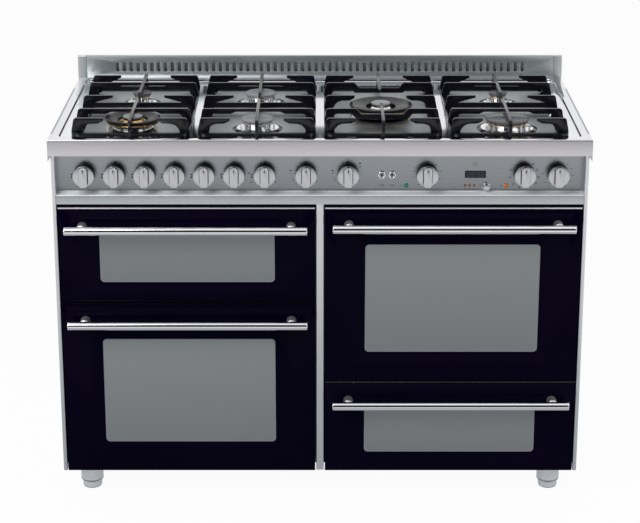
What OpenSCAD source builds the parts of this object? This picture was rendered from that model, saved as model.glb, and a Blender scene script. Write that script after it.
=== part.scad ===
// Triple oven range cooker: a seven burner gas hob on four cast pan supports,
// three ovens with drop down glass doors and a storage drawer.
// Millimetres. X runs to the right of somebody facing it, minus Y is the front,
// Z is up. The origin is on the floor, under the middle of the overall box.

/* [Overall size] */
// Width of the hob
hob_w = 1200; // [1150:10:1260]
// Depth of the hob from front band to rear edge
hob_d = 600; // [580:5:640]
// Height of the hob rim above the floor with the feet fully in
hob_h = 865; // [850:5:900]
// Height of the vented upstand above the hob rim
upstand_h = 57; // [45:1:75]
// Thickness of the body sheet
sheet = 1.5; // [1.2:0.1:1.8]

/* [Hob] */
// Width of the flat rim round the pressed tray
rim_w = 22; // [18:1:26]
// Depth of the pressed tray below the rim
tray_drop = 6; // [4:0.5:8]
// Height of the front band of the hob
band_h = 37; // [32:1:40]
// Distance between burner columns
burner_pitch = 281; // [276:1:290]
// Front burner centres behind the front band
front_row = 122; // [118:1:126]
// Rear burner centres behind the front band
rear_row = 365; // [355:1:375]
// Height of the cone pressed under each burner
boss_h = 4; // [3:0.5:4]
// Height of the burner bodies above the hob
cup_h = 16; // [14:0.5:16]
// Radius of a small burner cap
small_cap_r = 22; // [20:0.5:24]
// Radius of a medium burner cap
medium_cap_r = 36.5; // [34:0.5:38]
// Radius of the large burner cap
large_cap_r = 49; // [46:0.5:51]
// Outer radius of the left ring burner
ring_cap_r = 62; // [58:0.5:64]
// Outer radius of the wok burner
wok_cap_r = 72; // [68:0.5:74]

/* [Pan supports] */
// Width of one cast pan support
grate_w = 262; // [254:1:264]
// Front edge of the supports behind the front band
grate_front = 46; // [42:1:52]
// Depth of one pan support
grate_d = 450; // [440:1:460]
// Height of the pan line above the pressed tray
grate_h = 40; // [39:0.5:44]
// Thickness of the cast blades
blade_t = 7; // [6:0.5:8]

/* [Control panel] */
// How far the control face sits behind the front band
panel_set = 40; // [36:1:44]
// Radius of a control knob
knob_r = 24; // [22:0.5:25]
// How far a knob's disc stands in front of the control face
knob_stand = 28; // [26:0.5:30]
// How far the grip stands in front of the disc
grip_stand = 12; // [10:0.5:12]
// Width of the grip
grip_w = 18; // [14:0.5:20]
// Radius of the knob spindles
spindle_r = 4; // [3:0.5:4]
// Radial clearance round each spindle
spindle_fit = 0.06; // [0.04:0.01:0.08]

/* [Doors and drawer] */
// Height of the upper left door
grill_door_h = 227; // [220:1:240]
// Height of the right oven door
right_door_h = 418; // [405:1:425]
// Gap between one door and the next
door_gap = 3; // [3:0.5:4]
// Depth of a door from glass to back
door_t = 40; // [38:1:42]
// Thickness of the outer glass
glass_t = 4; // [3.5:0.25:4]
// Width of the centre stile
stile_w = 17; // [15:1:19]
// Width of the front edge of each side panel
side_edge = 9; // [8:0.5:10]
// Radius of the handle bars
bar_r = 10; // [9:0.5:10]
// Distance from the glass to the middle of the handle bar
bar_stand = 36; // [34:1:36]
// Length of the handle bars
bar_len = 535; // [500:5:540]
// Height of the hinge axis above the door's lower edge
hinge_up = 20; // [20:1:24]
// Radius of the hinge pins
pin_r = 2.5; // [2.5:0.1:2.6]
// Radial clearance round each hinge pin
pin_fit = 0.05; // [0.03:0.01:0.08]
// Travel of the storage drawer
drawer_travel = 410; // [410:5:420]

/* [Oven cavities] */
// Width of each oven cavity
cavity_w = 440; // [420:5:445]
// Depth of each oven cavity
cavity_d = 400; // [380:5:410]
// Side of the square fan cover
cover_w = 250; // [240:5:255]

/* [Feet] */
// Height of the fixed leg sleeve
sleeve_h = 50; // [45:1:55]
// Radius of the fixed leg sleeve
sleeve_r = 26; // [24:0.5:27]
// Height of the foot disc
foot_h = 19; // [16:1:20]
// Radius of the foot disc
foot_r = 22; // [20:0.5:24]
// How far each foot can be wound down
foot_travel = 35; // [25:5:35]

/* [Hidden] */
$fn = 32;
clear = 0.3;                              // loose gap round parts that drop in
proj = bar_stand + bar_r - 8;             // handles in front of the hob band
yf = -(hob_d + proj) / 2 + proj;          // hob front band
yb = yf + hob_d;                          // hob rear edge
yg = yf + 8;                              // front of the door glass
yd = yg + glass_t;                        // front of the door frames
ydb = yg + door_t;                        // back of the door frames
ys = ydb + 4;                             // face of the oven front plates
yp = yf + panel_set;                      // control face
yr = yb - 40;                             // outside of the back panel
body_w = hob_w - 10;                      // outside of the side panels
xi = body_w / 2 - sheet;                  // inside of the side panels
web = sheet / 2;                          // half of the centre web
zt = hob_h;                               // hob rim
ztray = zt - tray_drop;                   // top of the pressed tray
zb = sleeve_h + foot_h;                   // underside of the body
zfl = zb + sheet;                         // top of the base pan
zledge = zt - 129;                        // top of the ledge under the panel
zlip = zt - 150;                          // lower edge of the lip
dtop = zt - 155;                          // top of the upper doors
dx0 = stile_w / 2 + 2.5;                  // door edge next to the stile
dx1 = body_w / 2 - side_edge - 2;         // door edge next to the side panel
dcx = (dx0 + dx1) / 2;                    // middle of a door
dw = dx1 - dx0;                           // width of a door
gz = [dtop - grill_door_h, dtop];         // upper left door, bottom and top
lz = [zb, dtop - grill_door_h - door_gap];    // lower left door
rz = [dtop - right_door_h, dtop];         // right door
wz = [zb, dtop - right_door_h - door_gap];    // storage drawer front
hy = yd + 5;                              // hinge axis behind the glass
lug_r = 4.5;                              // eye round each hinge pin
hinge_x = 240;                            // hinges each side of a door's middle
win_w = 392;                              // width of the window in each door
post_x = 233;                             // handle posts each side of the middle
post_r = bar_r + 1;
bar_y = yg - bar_stand;
cav_y = ys + cavity_d;                    // inside of the cavity back walls
shelf_z = [40, 150, 150];                 // shelf height above each cavity floor
fan_r = 70;
stub_r = 14;                              // burner stub under the hob
grate_up = 1;                             // pan support frame above the tray
lid_up = 6;                               // inner cap above the ring round it
grip_l = knob_r * 2 - 2;                  // length of a knob's grip
zk = zt - 88;                             // knob centres
foot_x = body_w / 2 - 57;
foot_y = [ys + sleeve_r + 1, yr - 62];
slide_z = zb + 70;                        // top of the drawer runners
drw = [dx0 + 49, dx1 - 49];               // outside faces of the drawer sides
back = ydb + drawer_travel + 62;          // back of the drawer
burner_x = [for (i = [0 : 3]) (i - 1.5) * burner_pitch];
row = body_w / 1190;                      // the row of controls spreads with the body
knob_x = row * [-524.6, -457.1, -389.8, -323.7, -257.5, -190.9, -123,
                -31, 62.7, 238.7, 455, 529.7];
lamp_at = [[192.3 * row, -115.5, 5.2], [415.5 * row, -115.5, 5.2],
           [324 * row, -115.3, 3], [334 * row, -115.3, 3], [344.3 * row, -115.3, 3]];
timer_at = [370.8 * row, -117.6];
button_at = [[137.8 * row, -90.6], [160.8 * row, -90.6]];
display_at = [346.3 * row, -89.8];
gland_x = body_w / 2 - 165;               // cable gland in the back panel
vent_x = body_w / 2 - 295;                // middle of each group of vent slots
cav_up = 42;                              // cavity floor above a door's lower edge
cav_down = 24;                            // cavity roof below a door's upper edge
shelf_back = 110;                         // shelf shorter than its cavity
inlet_x = knob_x[0] - 8;

steel = [0.73, 0.73, 0.74];
dark = [0.08, 0.08, 0.1];
black_glass = [0.03, 0.02, 0.08];
inside = [0.32, 0.33, 0.34];
silver = [0.82, 0.82, 0.84];
brass = [0.78, 0.62, 0.3];

// Names of the separate pieces

// Box from one corner to the opposite one
module box(a, b) translate(a) cube(b - a);

// Round bar along X, along Y or along Z
module rod_x(r, p, l) translate(p) rotate([0, 90, 0]) cylinder(r = r, h = l);
module rod_y(r, p, l) translate(p) rotate([-90, 0, 0]) cylinder(r = r, h = l);

// Rectangle with true round corners
module round_rect(w, d, r) {
  translate([-w / 2 + r, -d / 2]) square([w - 2 * r, d]);
  translate([-w / 2, -d / 2 + r]) square([w, d - 2 * r]);
  for (x = [-1, 1], y = [-1, 1])
    translate([x * (w / 2 - r), y * (d / 2 - r)]) circle(r = r);
}

// Places its child at each burner: kind 0 small, 1 medium, 2 large, 3 ring, 4 wok
module at_burners(kind) {
  spots = [for (s = [[0, front_row, 3], [0, rear_row, 0], [1, front_row, 1],
    [1, rear_row, 1], [2, (front_row + rear_row) / 2, 4], [3, front_row, 2],
    [3, rear_row, 0]]) if (s[2] == kind) s];
  for (s = spots) translate([burner_x[s[0]], yf + s[1], ztray + boss_h]) children();
}

cap_rs = [small_cap_r, medium_cap_r, large_cap_r, ring_cap_r, wok_cap_r];

// Flat top of the raised seat under each kind of burner
boss_r = [small_cap_r + 11, medium_cap_r + 10,
  min(large_cap_r + 9.5, front_row - grate_front - 17.5), ring_cap_r - 18, wok_cap_r - 12];

// Sheet cone pressed up under a burner, with a hole for the burner's stub
module boss(r) translate([0, 0, -boss_h]) rotate_extrude($fn = 48)
  polygon([[stub_r + clear, boss_h], [r, boss_h], [r + 10, 0], [r + 10, -sheet],
    [r + 8.5, -sheet], [r - 1, boss_h - sheet], [stub_r + clear, boss_h - sheet]]);

module hob_top() color(steel) {
  tw = hob_w - 2 * rim_w;
  td = hob_d - 2 * rim_w;
  yc = (yf + yb) / 2;
  difference() {
    union() {
      difference() {
        box([-hob_w / 2, yf, zt - band_h - 11], [hob_w / 2, yb, zt]);
        box([-hob_w / 2 + sheet, yf + sheet, 0],
          [hob_w / 2 - sheet, yb - sheet, zt - sheet]);
        box([-hob_w / 2 + sheet, yf - 1, 0],
          [hob_w / 2 - sheet, yb + 1, zt - band_h]);
        translate([0, yc, zt - 5]) linear_extrude(10) round_rect(tw, td, 20);
      }
      translate([0, yc, ztray - sheet]) difference() {
        linear_extrude(tray_drop + sheet) round_rect(tw + 2 * sheet, td + 2 * sheet, 20 + sheet);
        translate([0, 0, sheet]) linear_extrude(20) round_rect(tw, td, 20);
      }
    }
    for (k = [0 : 4]) at_burners(k)
      translate([0, 0, -20]) cylinder(r = boss_r[k] + 9.5, h = 30, $fn = 48);
  }
  for (k = [0 : 4]) at_burners(k) boss(boss_r[k]);
}

module upstand() color(steel) difference() {
  box([-hob_w / 2, yb - 10, zt], [hob_w / 2, yb, zt + upstand_h]);
  box([-hob_w / 2 + sheet, yb - 10 + sheet, zt - 1],
    [hob_w / 2 - sheet, yb - sheet, zt + upstand_h - sheet]);
  for (i = [0 : 59]) translate([(i - 29.5) * 17, yb - 5, zt + upstand_h / 2]) {
    box([-4.2, -6, -7.6], [4.2, 0, 7.6]);
    for (z = [-7.6, 7.6]) translate([0, 0, z]) rotate([90, 0, 0])
      cylinder(r = 4.2, h = 6, $fn = 16);
  }
}

module side_panel() {
  box([xi, yg, zb], [xi + sheet, yr, zt - sheet]);
  box([body_w / 2 - side_edge, yg, zb], [xi + 0.5, yg + sheet, zt - sheet]);
  box([body_w / 2 - side_edge, yg, zb],
    [body_w / 2 - side_edge + sheet, ys, zt - sheet]);
}

module left_side_panel() color(steel) mirror([1, 0, 0]) side_panel();
module right_side_panel() color(steel) side_panel();

module back_panel() color(inside) difference() {
  union() {
    box([-xi, yr - sheet, zb], [xi, yr, ztray - sheet]);
    rod_y(11, [gland_x, yr - 8, zb + 90], 20);
  }
  rod_y(5, [gland_x, yr - 20, zb + 90], 40);
  rod_y(8 + clear, [inlet_x, yr - 20, zk], 40);
  for (x = [-1, 1], i = [-5 : 5])
    translate([x * vent_x + i * 30, yr, zt - 95]) box([-4, -5, -25], [4, 5, 25]);
}

module base_pan() color(inside) {
  box([-xi, ys, zb], [xi, yr - sheet, zfl]);
  for (x = [-xi, xi - sheet]) box([x, ys + 10, zb], [x + sheet, yr - sheet, zb + 26]);
  for (x = [-foot_x, foot_x], y = foot_y) translate([x, y, 0]) difference() {
    translate([0, 0, foot_h]) cylinder(r = sleeve_r, h = sleeve_h);
    cylinder(r = 10.06, h = zb - 2);
  }
}

module centre_divider() color(steel) {
  box([-stile_w / 2, yg, zfl], [stile_w / 2, yg + sheet, zlip]);
  for (x = [-stile_w / 2, stile_w / 2 - sheet])
    box([x, yg, zfl], [x + sheet, ys, zlip]);
  box([-web, yg + 0.5, zfl], [web, yr - sheet, zlip]);
  box([-web, ys, zlip - 1], [web, yr - sheet, zledge - sheet]);
}

module control_panel() color(steel) difference() {
  xe = body_w / 2 - side_edge;
  union() {
    box([-xe, yp, zledge - 1], [xe, yp + sheet, ztray - sheet]);
    box([-xe, yg, zledge - sheet], [xe, ys + sheet, zledge]);
    box([-xe, yg, zlip], [xe, yg + sheet, zledge]);
  }
  for (x = knob_x) rod_y(spindle_r + spindle_fit, [x, yp - 5, zk], 20, $fn = 24);
  rod_y(3 + spindle_fit, [timer_at[0], yp - 5, zt + timer_at[1]], 20, $fn = 24);
  for (b = button_at) rod_y(8.6, [b[0], yp - 5, zt + b[1]], 20);
  for (l = lamp_at) rod_y(l[2] - 1, [l[0], yp - 5, zt + l[1]], 20, $fn = 24);
  translate([display_at[0], yp - 5, zt + display_at[1]])
    box([-21, 0, -6], [21, 20, 6]);
}

// Oven box with its front plate, shelf ledges, straps and hinge receivers
module liner(side, z0, z1, door, ledges, fan) {
  c = side * dcx;
  a = door[0] + cav_up;
  b = door[1] - cav_down;
  hw = cavity_w / 2;
  x0 = side > 0 ? web : -xi;
  x1 = side > 0 ? xi : -web;
  difference() {
    union() {
      box([x0, ys, z0], [x1, ys + sheet, z1]);
      box([c - hw - sheet, ys, a - sheet], [c + hw + sheet, cav_y + sheet, b + sheet]);
      for (x = [-150, 150]) box([c + x - 12, cav_y, b - 30], [c + x + 12, yr - sheet, b - 30 + sheet]);
    }
    box([c - hw, ys - 5, a], [c + hw, cav_y, b]);
    if (fan) {
      rod_y(5, [c, cav_y - 5, (a + b) / 2], 10);
      for (x = [-12, 12]) rod_y(4.5, [c + x, cav_y - 5, (a + b) / 2 - 92], 10, $fn = 24);
    } else
      for (x = [-170, 170]) rod_y(4.5, [c + x, cav_y - 5, b - 18], 10, $fn = 24);
  }
  for (z = ledges, s = [-1, 1])
    box([c + s * hw - (s > 0 ? 7 : 0), ys + 20, a + z - 4],
      [c + s * hw + (s < 0 ? 7 : 0), cav_y - 60, a + z]);
  for (x = [-hinge_x, hinge_x]) translate([c + x - 3, hy, door[0] + hinge_up])
    rotate([90, 0, 90]) linear_extrude(6) difference() {
      union() {
        circle(r = lug_r);
        translate([0, -4]) square([ys - hy, 8]);
      }
      circle(r = pin_r + pin_fit);
    }
}

module grill_oven_liner() color(inside)
  liner(-1, lz[1] + door_gap / 2, zledge - sheet, gz, [shelf_z[0], shelf_z[0] + 45], false);
module left_oven_liner() color(inside)
  liner(-1, zfl, lz[1] + door_gap / 2, lz, [60, shelf_z[1], 240], true);
module right_oven_liner() color(inside)
  liner(1, wz[1] + door_gap / 2, zledge - sheet, rz, [60, shelf_z[2], 240], true);

// Door data for the three ovens: side, bottom and top, shelf height
ovens = [[-1, gz, shelf_z[0]], [-1, lz, shelf_z[1]], [1, rz, shelf_z[2]]];

module door_seals() color(dark) for (o = ovens) {
  a = o[1][0] + cav_up;
  b = o[1][1] - cav_down;
  translate([o[0] * dcx, ydb, (a + b) / 2]) rotate([-90, 0, 0]) linear_extrude(ys - ydb)
    difference() {
      round_rect(cavity_w + 26, b - a + 26, 14);
      round_rect(cavity_w + 8, b - a + 8, 5);
    }
}

module oven_shelves() color(silver) for (o = ovens)
  translate([o[0] * dcx, ys + 30, o[1][0] + cav_up + o[2]]) {
    w = cavity_w - 4;
    l = cavity_d - shelf_back;
    for (x = [-w / 2 + 2.5, w / 2 - 2.5]) translate([x, 0, 2.5]) rotate([-90, 0, 0])
      rotate([0, 0, 22.5]) cylinder(r = 2.7, h = l, $fn = 8);
    for (y = [2.5, l - 2.5]) translate([-w / 2, y, 2.5]) rotate([0, 90, 0])
      rotate([0, 0, 22.5]) cylinder(r = 2.7, h = w, $fn = 8);
    for (i = [1 : 13]) box([-w / 2 + i * w / 14 - 1.2, 1, 3.4], [-w / 2 + i * w / 14 + 1.2, l - 1, 5.8]);
  }

// Ring element behind a fan cover, with two legs through the back wall
module ring_element() {
  rotate([90, 0, 0]) rotate([0, 0, -82.5]) rotate_extrude(angle = 345, $fn = 48)
    translate([92, 0]) circle(r = 3.5, $fn = 16);
  for (x = [-12, 12]) rod_y(3.5, [x, -1, -92], 60, $fn = 16);
}

module heating_elements() color(dark) {
  for (o = [ovens[1], ovens[2]])
    translate([o[0] * dcx, cav_y - 22, (o[1][0] + o[1][1]) / 2 + 9]) ring_element();
  translate([-dcx, 0, gz[1] - cav_down - 18]) {
    for (x = [-170, 170]) rod_y(3.5, [x, ys + 60, 0], cav_y - ys - 20, $fn = 16);
    for (x = [-102, -34, 34, 102]) rod_y(3.5, [x, ys + 60, 0], cavity_d - shelf_back, $fn = 16);
    for (x = [-136, 0, 136]) translate([x, ys + 60, 0]) rotate([0, 0, 180])
      rotate_extrude(angle = 180) translate([34, 0]) circle(r = 3.5, $fn = 16);
    for (x = [-68, 68]) translate([x, cav_y - 50, 0])
      rotate_extrude(angle = 180) translate([34, 0]) circle(r = 3.5, $fn = 16);
  }
}

module fan_housings() color(steel) for (o = [ovens[1], ovens[2]])
  translate([o[0] * dcx, cav_y, (o[1][0] + o[1][1]) / 2 + 9]) {
    h = cover_w / 2;
    difference() {
      box([-h, -48, -h], [h, -48 + sheet, h]);
      rod_y(52, [0, -60, 0], 20);
      for (a = [45 : 90 : 315]) rotate([0, a, 0])
        box([-30, -60, 96], [30, -40, 104]);
    }
    for (x = [-1, 1], z = [-1, 1]) rod_y(4, [x * (h - 10), -48 + sheet, z * (h - 10)], 48 - sheet, $fn = 16);
    difference() {
      rod_y(34, [0, sheet, 0], 55);
      rod_y(3.05, [0, 0, 0], 40, $fn = 24);
    }
  }

// Radial fan wheel on its shaft
module fan_wheel() {
  rod_y(3, [0, -38, 0], 68, $fn = 24);
  difference() {
    rod_y(fan_r, [0, -10, 0], 1.5, $fn = 48);
    for (a = [0 : 60 : 300]) rotate([0, a, 0]) rod_y(7, [32, -12, 0], 6, $fn = 24);
  }
  rod_y(9, [0, -34, 0], 25, $fn = 24);
  for (a = [0 : 30 : 330]) rotate([0, a, 0]) box([fan_r - 24, -38, -0.75], [fan_r - 2, -9.5, 0.75]);
}

module left_fan() color(silver) translate([-dcx, cav_y, (lz[0] + lz[1]) / 2 + 9]) fan_wheel();
module right_fan() color(silver) translate([dcx, cav_y, (rz[0] + rz[1]) / 2 + 9]) fan_wheel();

// Door frame: folded box with a window, handle blocks and hinge pins
module door_frame(side, z, wb, wt) {
  z0 = z[0] + hinge_up - 8;
  hz = z[0] + hinge_up;
  translate([side * dcx, 0, 0]) {
    difference() {
      box([-dw / 2, yd, z0], [dw / 2, ydb, z[1]]);
      box([-dw / 2 + sheet, yd + sheet, z0 + sheet], [dw / 2 - sheet, ydb - sheet, z[1] - sheet]);
      box([-dw / 2 + 14, yd - 1, z0 + 18], [dw / 2 - 14, yd + 5, z[1] - 14]);
      translate([0, ydb + 5, (z[0] + wb + z[1] - wt) / 2]) rotate([90, 0, 0]) linear_extrude(10)
        round_rect(win_w + 12, z[1] - wt - z[0] - wb + 12, 14);
      for (x = [-hinge_x, hinge_x]) box([x - 5, yd - 1, z0 - 1], [x + 5, ydb + 1, hz + 6]);
    }
    for (x = [-post_x, post_x])
      box([x - 9, yd, handle_z(z) - 9], [x + 9, ydb - sheet + 0.5, handle_z(z) + 9]);
    for (x = [-hinge_x, hinge_x]) {
      for (s = [-1, 1]) box([x + s * 5 - (s < 0 ? 9 : 0), yd, z0 + 1],
        [x + s * 5 + (s > 0 ? 9 : 0), hy + 6, hz + 8]);
      rod_x(pin_r, [x - 7, hy, hz], 14);
    }
  }
}

// Height of each handle, a little below its door's top edge
function handle_z(z) = z[1] - (z == wz ? 44 : z == lz ? 40 : z == rz ? 43 : 47);

// Outer glass with holes for the handle screws
module door_glass(side, z) translate([side * dcx, yg, 0]) difference() {
  box([-dw / 2, 0, z[0]], [dw / 2, glass_t, z[1] - 2.5]);
  for (x = [-post_x, post_x]) rod_y(4.5, [x, -1, handle_z(z)], 10, $fn = 24);
}

module inner_glass(side, z, wb, wt) translate([side * dcx, ydb - sheet - 4, 0])
  box([-win_w / 2 - 18, 0, z[0] + wb - 18], [win_w / 2 + 18, 4, z[1] - wt + 18]);

// Bar handle: tube on two posts, with a plug in each end
module handle(side, z) translate([side * dcx, 0, handle_z(z)]) {
  l = min(bar_len, dw - 30);
  difference() {
    union() {
      rod_x(bar_r, [-l / 2, bar_y, 0], l);
      for (x = [-post_x, post_x]) {
        rod_y(post_r, [x, bar_y - 5, 0], bar_stand + 5);
        translate([x, bar_y - 5, 0]) rotate([90, 0, 0]) cylinder(r1 = post_r, r2 = 7, h = bar_r - 5);
        rod_y(4, [x, yg - 1, 0], 1 + glass_t, $fn = 24);
      }
    }
    rod_x(bar_r - sheet, [-l, bar_y, 0], 2 * l);
    rod_y(1.5, [0, bar_y + 2, 0], bar_r, $fn = 16);
  }
  for (s = [-1, 1]) translate([s * l / 2, bar_y, 0]) rotate([0, s * 90, 0]) {
    cylinder(r = bar_r, h = 2);
    translate([0, 0, -8]) cylinder(r = bar_r - sheet - 0.1, h = 8.5);
  }
}

module grill_door_frame() color(steel) door_frame(-1, gz, 49, 53);
module grill_door_glass() color(black_glass) door_glass(-1, gz);
module grill_door_inner_glass() color(inside) inner_glass(-1, gz, 49, 53);
module grill_door_handle() color(silver) handle(-1, gz);
module left_door_frame() color(steel) door_frame(-1, lz, 73, 85);
module left_door_glass() color(black_glass) door_glass(-1, lz);
module left_door_inner_glass() color(inside) inner_glass(-1, lz, 73, 85);
module left_door_handle() color(silver) handle(-1, lz);
module right_door_frame() color(steel) door_frame(1, rz, 72, 89);
module right_door_glass() color(black_glass) door_glass(1, rz);
module right_door_inner_glass() color(inside) inner_glass(1, rz, 72, 89);
module right_door_handle() color(silver) handle(1, rz);

module drawer_runners() color(steel) for (s = [0, 1]) {
  x = s == 0 ? drw[0] - 20 : drw[1] + 20 - sheet;
  box([x, ydb, zfl], [x + sheet, back + 8, slide_z]);
  f = s == 0 ? x : x - 17 + sheet;
  box([f, ydb, slide_z - sheet], [f + 17, back + 8, slide_z]);
  g = s == 0 ? x - 12 : x;
  box([g, ydb + 20, zfl], [g + 12 + sheet, back + 8, zfl + sheet]);
}

module drawer_box() color(steel) {
  difference() {
    box([dx0, yd, zb + 12], [dx1, ydb, wz[1]]);
    box([dx0 + sheet, yd + sheet, zb], [dx1 - sheet, ydb + 1, wz[1] - sheet]);
  }
  box([dx0 + 1, ydb - sheet, zb + 12], [dx1 - 1, ydb, wz[1] - 1]);
  box([dx0 + 1, yd, zb + 12], [dx1 - 1, ydb, zb + 12 + sheet]);
  for (x = [-post_x, post_x]) box([dcx + x - 9, yd, handle_z(wz) - 9],
    [dcx + x + 9, ydb - sheet + 0.5, handle_z(wz) + 9]);
  difference() {
    box([drw[0], ydb - 1, zb + 24], [drw[1], back, zb + 150]);
    box([drw[0] + sheet, ydb, zb + 24 + sheet], [drw[1] - sheet, back - sheet, zb + 200]);
  }
  for (x = [drw[0] - 12, drw[1] - 0.5])
    box([x, ydb + 30, slide_z], [x + 12.5, back, slide_z + 8]);
}

module drawer_glass() color(black_glass) door_glass(1, wz);
module drawer_handle() color(silver) handle(1, wz);

// Burner body with a ring of flame ports
module cup(r, n) difference() {
  rotate_extrude($fn = 48) polygon([[6, -32], [stub_r, -32], [stub_r, 0], [r - 6, 0],
    [r - 3, cup_h], [r - 7, cup_h], [r - 10, 3], [6, 3]]);
  for (i = [0 : n - 1]) rotate([0, 0, i * 360 / n])
    box([r - 14, -1.2, cup_h - 3.5], [r + 5, 1.2, cup_h + 5]);
}

// Burner body with an outer ring and a small one in the middle
module ring_cup(r, base, n) difference() {
  rotate_extrude($fn = 48) polygon([[6, -32], [stub_r, -32], [stub_r, 0], [base, 0],
    [r - 3, cup_h], [r - 7, cup_h], [base, 6], [38, 6], [40, cup_h], [37, cup_h],
    [34, 5], [18, 5], [19, cup_h + lid_up], [15, cup_h + lid_up], [14, 5], [6, 5]]);
  for (i = [0 : n - 1]) rotate([0, 0, i * 360 / n])
    box([r - 14, -1.2, cup_h - 3.5], [r + 5, 1.2, cup_h + 5]);
}

module burner_cups() color(brass) {
  at_burners(0) cup(cap_rs[0], 12);
  at_burners(1) cup(cap_rs[1], 18);
  at_burners(2) cup(cap_rs[2], 24);
  at_burners(3) ring_cup(cap_rs[3], boss_r[3] - 2, 24);
  at_burners(4) ring_cup(cap_rs[4], boss_r[4] - 2, 30);
}

// Enamelled cap, thicker in the middle than at the edge
module cap(r) translate([0, 0, cup_h]) rotate_extrude($fn = 48)
  polygon([[0, 0], [r - 2, 0], [r, 1.5], [r, 4], [r - 2, 5.5], [0, 7]]);

// Wide enamelled ring, dished towards its inner edge
module ring_cap(r) translate([0, 0, cup_h]) rotate_extrude($fn = 48)
  polygon([[34, 0], [r - 4, 0], [r, 4], [r, 6.5], [r - 3, 7.5], [r - 12, 5.5], [38, 2.4], [34, 2]]);

module burner_caps() color([0.45, 0.46, 0.48]) {
  for (k = [0 : 2]) at_burners(k) cap(cap_rs[k]);
  for (k = [3, 4]) at_burners(k) {
    ring_cap(cap_rs[k]);
    translate([0, 0, lid_up]) cap(22);
  }
}

// Upright cast plate across a pan support, drawn in width and height
module cross_plate(y, pts) translate([0, y + blade_t / 2, 0]) rotate([90, 0, 0])
  linear_extrude(blade_t) polygon(pts);

// Upright cast plate along a pan support, drawn in depth and height
module long_plate(pts) translate([-blade_t / 2, 0, 0]) rotate([90, 0, 90])
  linear_extrude(blade_t) polygon(pts);

// The other half of a symmetric outline
function flipped(p) = [for (k = [len(p) - 1 : -1 : 0]) [-p[k][0], p[k][1]]];

// Pan support: frame, three pairs of fingers, two full bars, a centre blade
module pan_support(i, wok) color(dark)
  translate([burner_x[i], yf, ztray]) {
    w = grate_w / 2;
    h = grate_h;
    g = grate_front;
    d = grate_d;
    u = grate_up;
    m = g + d * 0.504;
    c = (front_row + rear_row) / 2;
    leg = rear_row - medium_cap_r - 26;
    dip = wok ? 12.7 : 0;
    side = [[w, 0], [w, 12], [w - 5, h - 3], [w - 9, h]];
    arched = concat(side, [[60, h], [60, h - 6], [w - 59, h - 12], [w - 41, h - 12.5],
      [w - 31, h - 16], [w - 24, h - 24], [w - 18, 0]]);
    sloped = concat(side, [[60, h], [60, h - 5], [w - 22, 13], [w - 12, 0]]);
    raised = concat(side, [[60, h], [60, h - 5], [w - 27, 23]]);
    top = concat(side, [[59, h], [47, h - dip]]);
    under = concat(wok ? [[57, h - 12 - dip], [69, h - 12]] : [[50, h - 7], [62, h - 12]],
      [[w - 30, h - 12], [w - 24, h - 14], [w - 14, 0]]);
    translate([0, g + d / 2, u]) linear_extrude(8) difference() {
      round_rect(grate_w, d, 18);
      round_rect(grate_w - 16, d - 16, 10);
    }
    cross_plate(g + 16, arched);
    cross_plate(g + 16, flipped(arched));
    cross_plate(g + d - 22, sloped);
    cross_plate(g + d - 22, flipped(sloped));
    for (y = [g + d * 0.227, g + d * 0.787])
      cross_plate(y, concat(top, flipped(top), flipped(under), under));
    if (wok) {
      cross_plate(m, arched);
      cross_plate(m, flipped(arched));
      long_plate([[g, u], [g - 9, h - 3], [g - 6, h], [c - 43, h], [c - 43, h - 6],
        [c - 69, h - 10], [g + 14, h - 10], [g + 8, u]]);
      long_plate([[g + d, u], [g + d, h - 3], [g + d - 4, h], [c + 86, h], [c + 86, h - 6],
        [c + 101, h - 10], [g + d - 16, h - 10], [g + d - 8, u]]);
    } else {
      cross_plate(m, concat(raised, flipped(raised), [[-w + 12, 0], [-w + 16, 11],
        [w - 16, 11], [w - 12, 0]]));
      long_plate([[g, u], [g - 9, h - 3], [g - 6, h], [m - 32, h], [m - 28, h - 3],
        [m - 22, 23], [leg - 14, 23], [leg - 6, h - 3], [leg - 2, h], [g + d - 4, h],
        [g + d, h - 3], [g + d, u], [g + d - 8, u], [g + d - 16, h - 9], [leg, h - 9],
        [leg - 8, 11], [m - 26, 11], [m - 40, h - 9], [front_row + 34, h - 9],
        [front_row + 24, h - 5], [front_row - 24, h - 5], [front_row - 34, h - 9],
        [g + 3, h - 9], [g + 3, 16], [g + 8, u]]);
    }
  }

module pan_support_1() pan_support(0, false);
module pan_support_2() pan_support(1, false);
module pan_support_3() pan_support(2, true);
module pan_support_4() pan_support(3, false);

// Control knob: skirt, disc, upright grip and its spindle
module knob(i) color(silver) translate([knob_x[i - 1], yp, zk]) {
  rod_y(knob_r - 0.8, [0, -knob_stand + 4, 0], knob_stand - 4, $fn = 48);
  rod_y(knob_r, [0, -knob_stand, 0], 4.5, $fn = 48);
  translate([0, -knob_stand + 1, 0]) rotate([90, 0, 0]) linear_extrude(grip_stand + 1) {
    square([grip_w, grip_l - grip_w], center = true);
    for (s = [-1, 1]) translate([0, s * (grip_l - grip_w) / 2]) circle(d = grip_w);
  }
  rod_y(spindle_r, [0, -1, 0], 27, $fn = 24);
}

module knob_1() knob(1);
module knob_2() knob(2);
module knob_3() knob(3);
module knob_4() knob(4);
module knob_5() knob(5);
module knob_6() knob(6);
module knob_7() knob(7);
module knob_8() knob(8);
module knob_9() knob(9);
module knob_10() knob(10);
module knob_11() knob(11);
module knob_12() knob(12);

module timer_knob() color(silver) translate([timer_at[0], yp, zt + timer_at[1]]) {
  rod_y(8.5, [0, -14, 0], 14);
  rod_y(3, [0, -1, 0], 22, $fn = 24);
}

module button(i) color(silver) translate([button_at[i - 1][0], yp, zt + button_at[i - 1][1]]) {
  rod_y(8.5, [0, -5, 0], 12);
  rod_y(10, [0, sheet, 0], 2);
}

module button_1() button(1);
module button_2() button(2);

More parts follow.
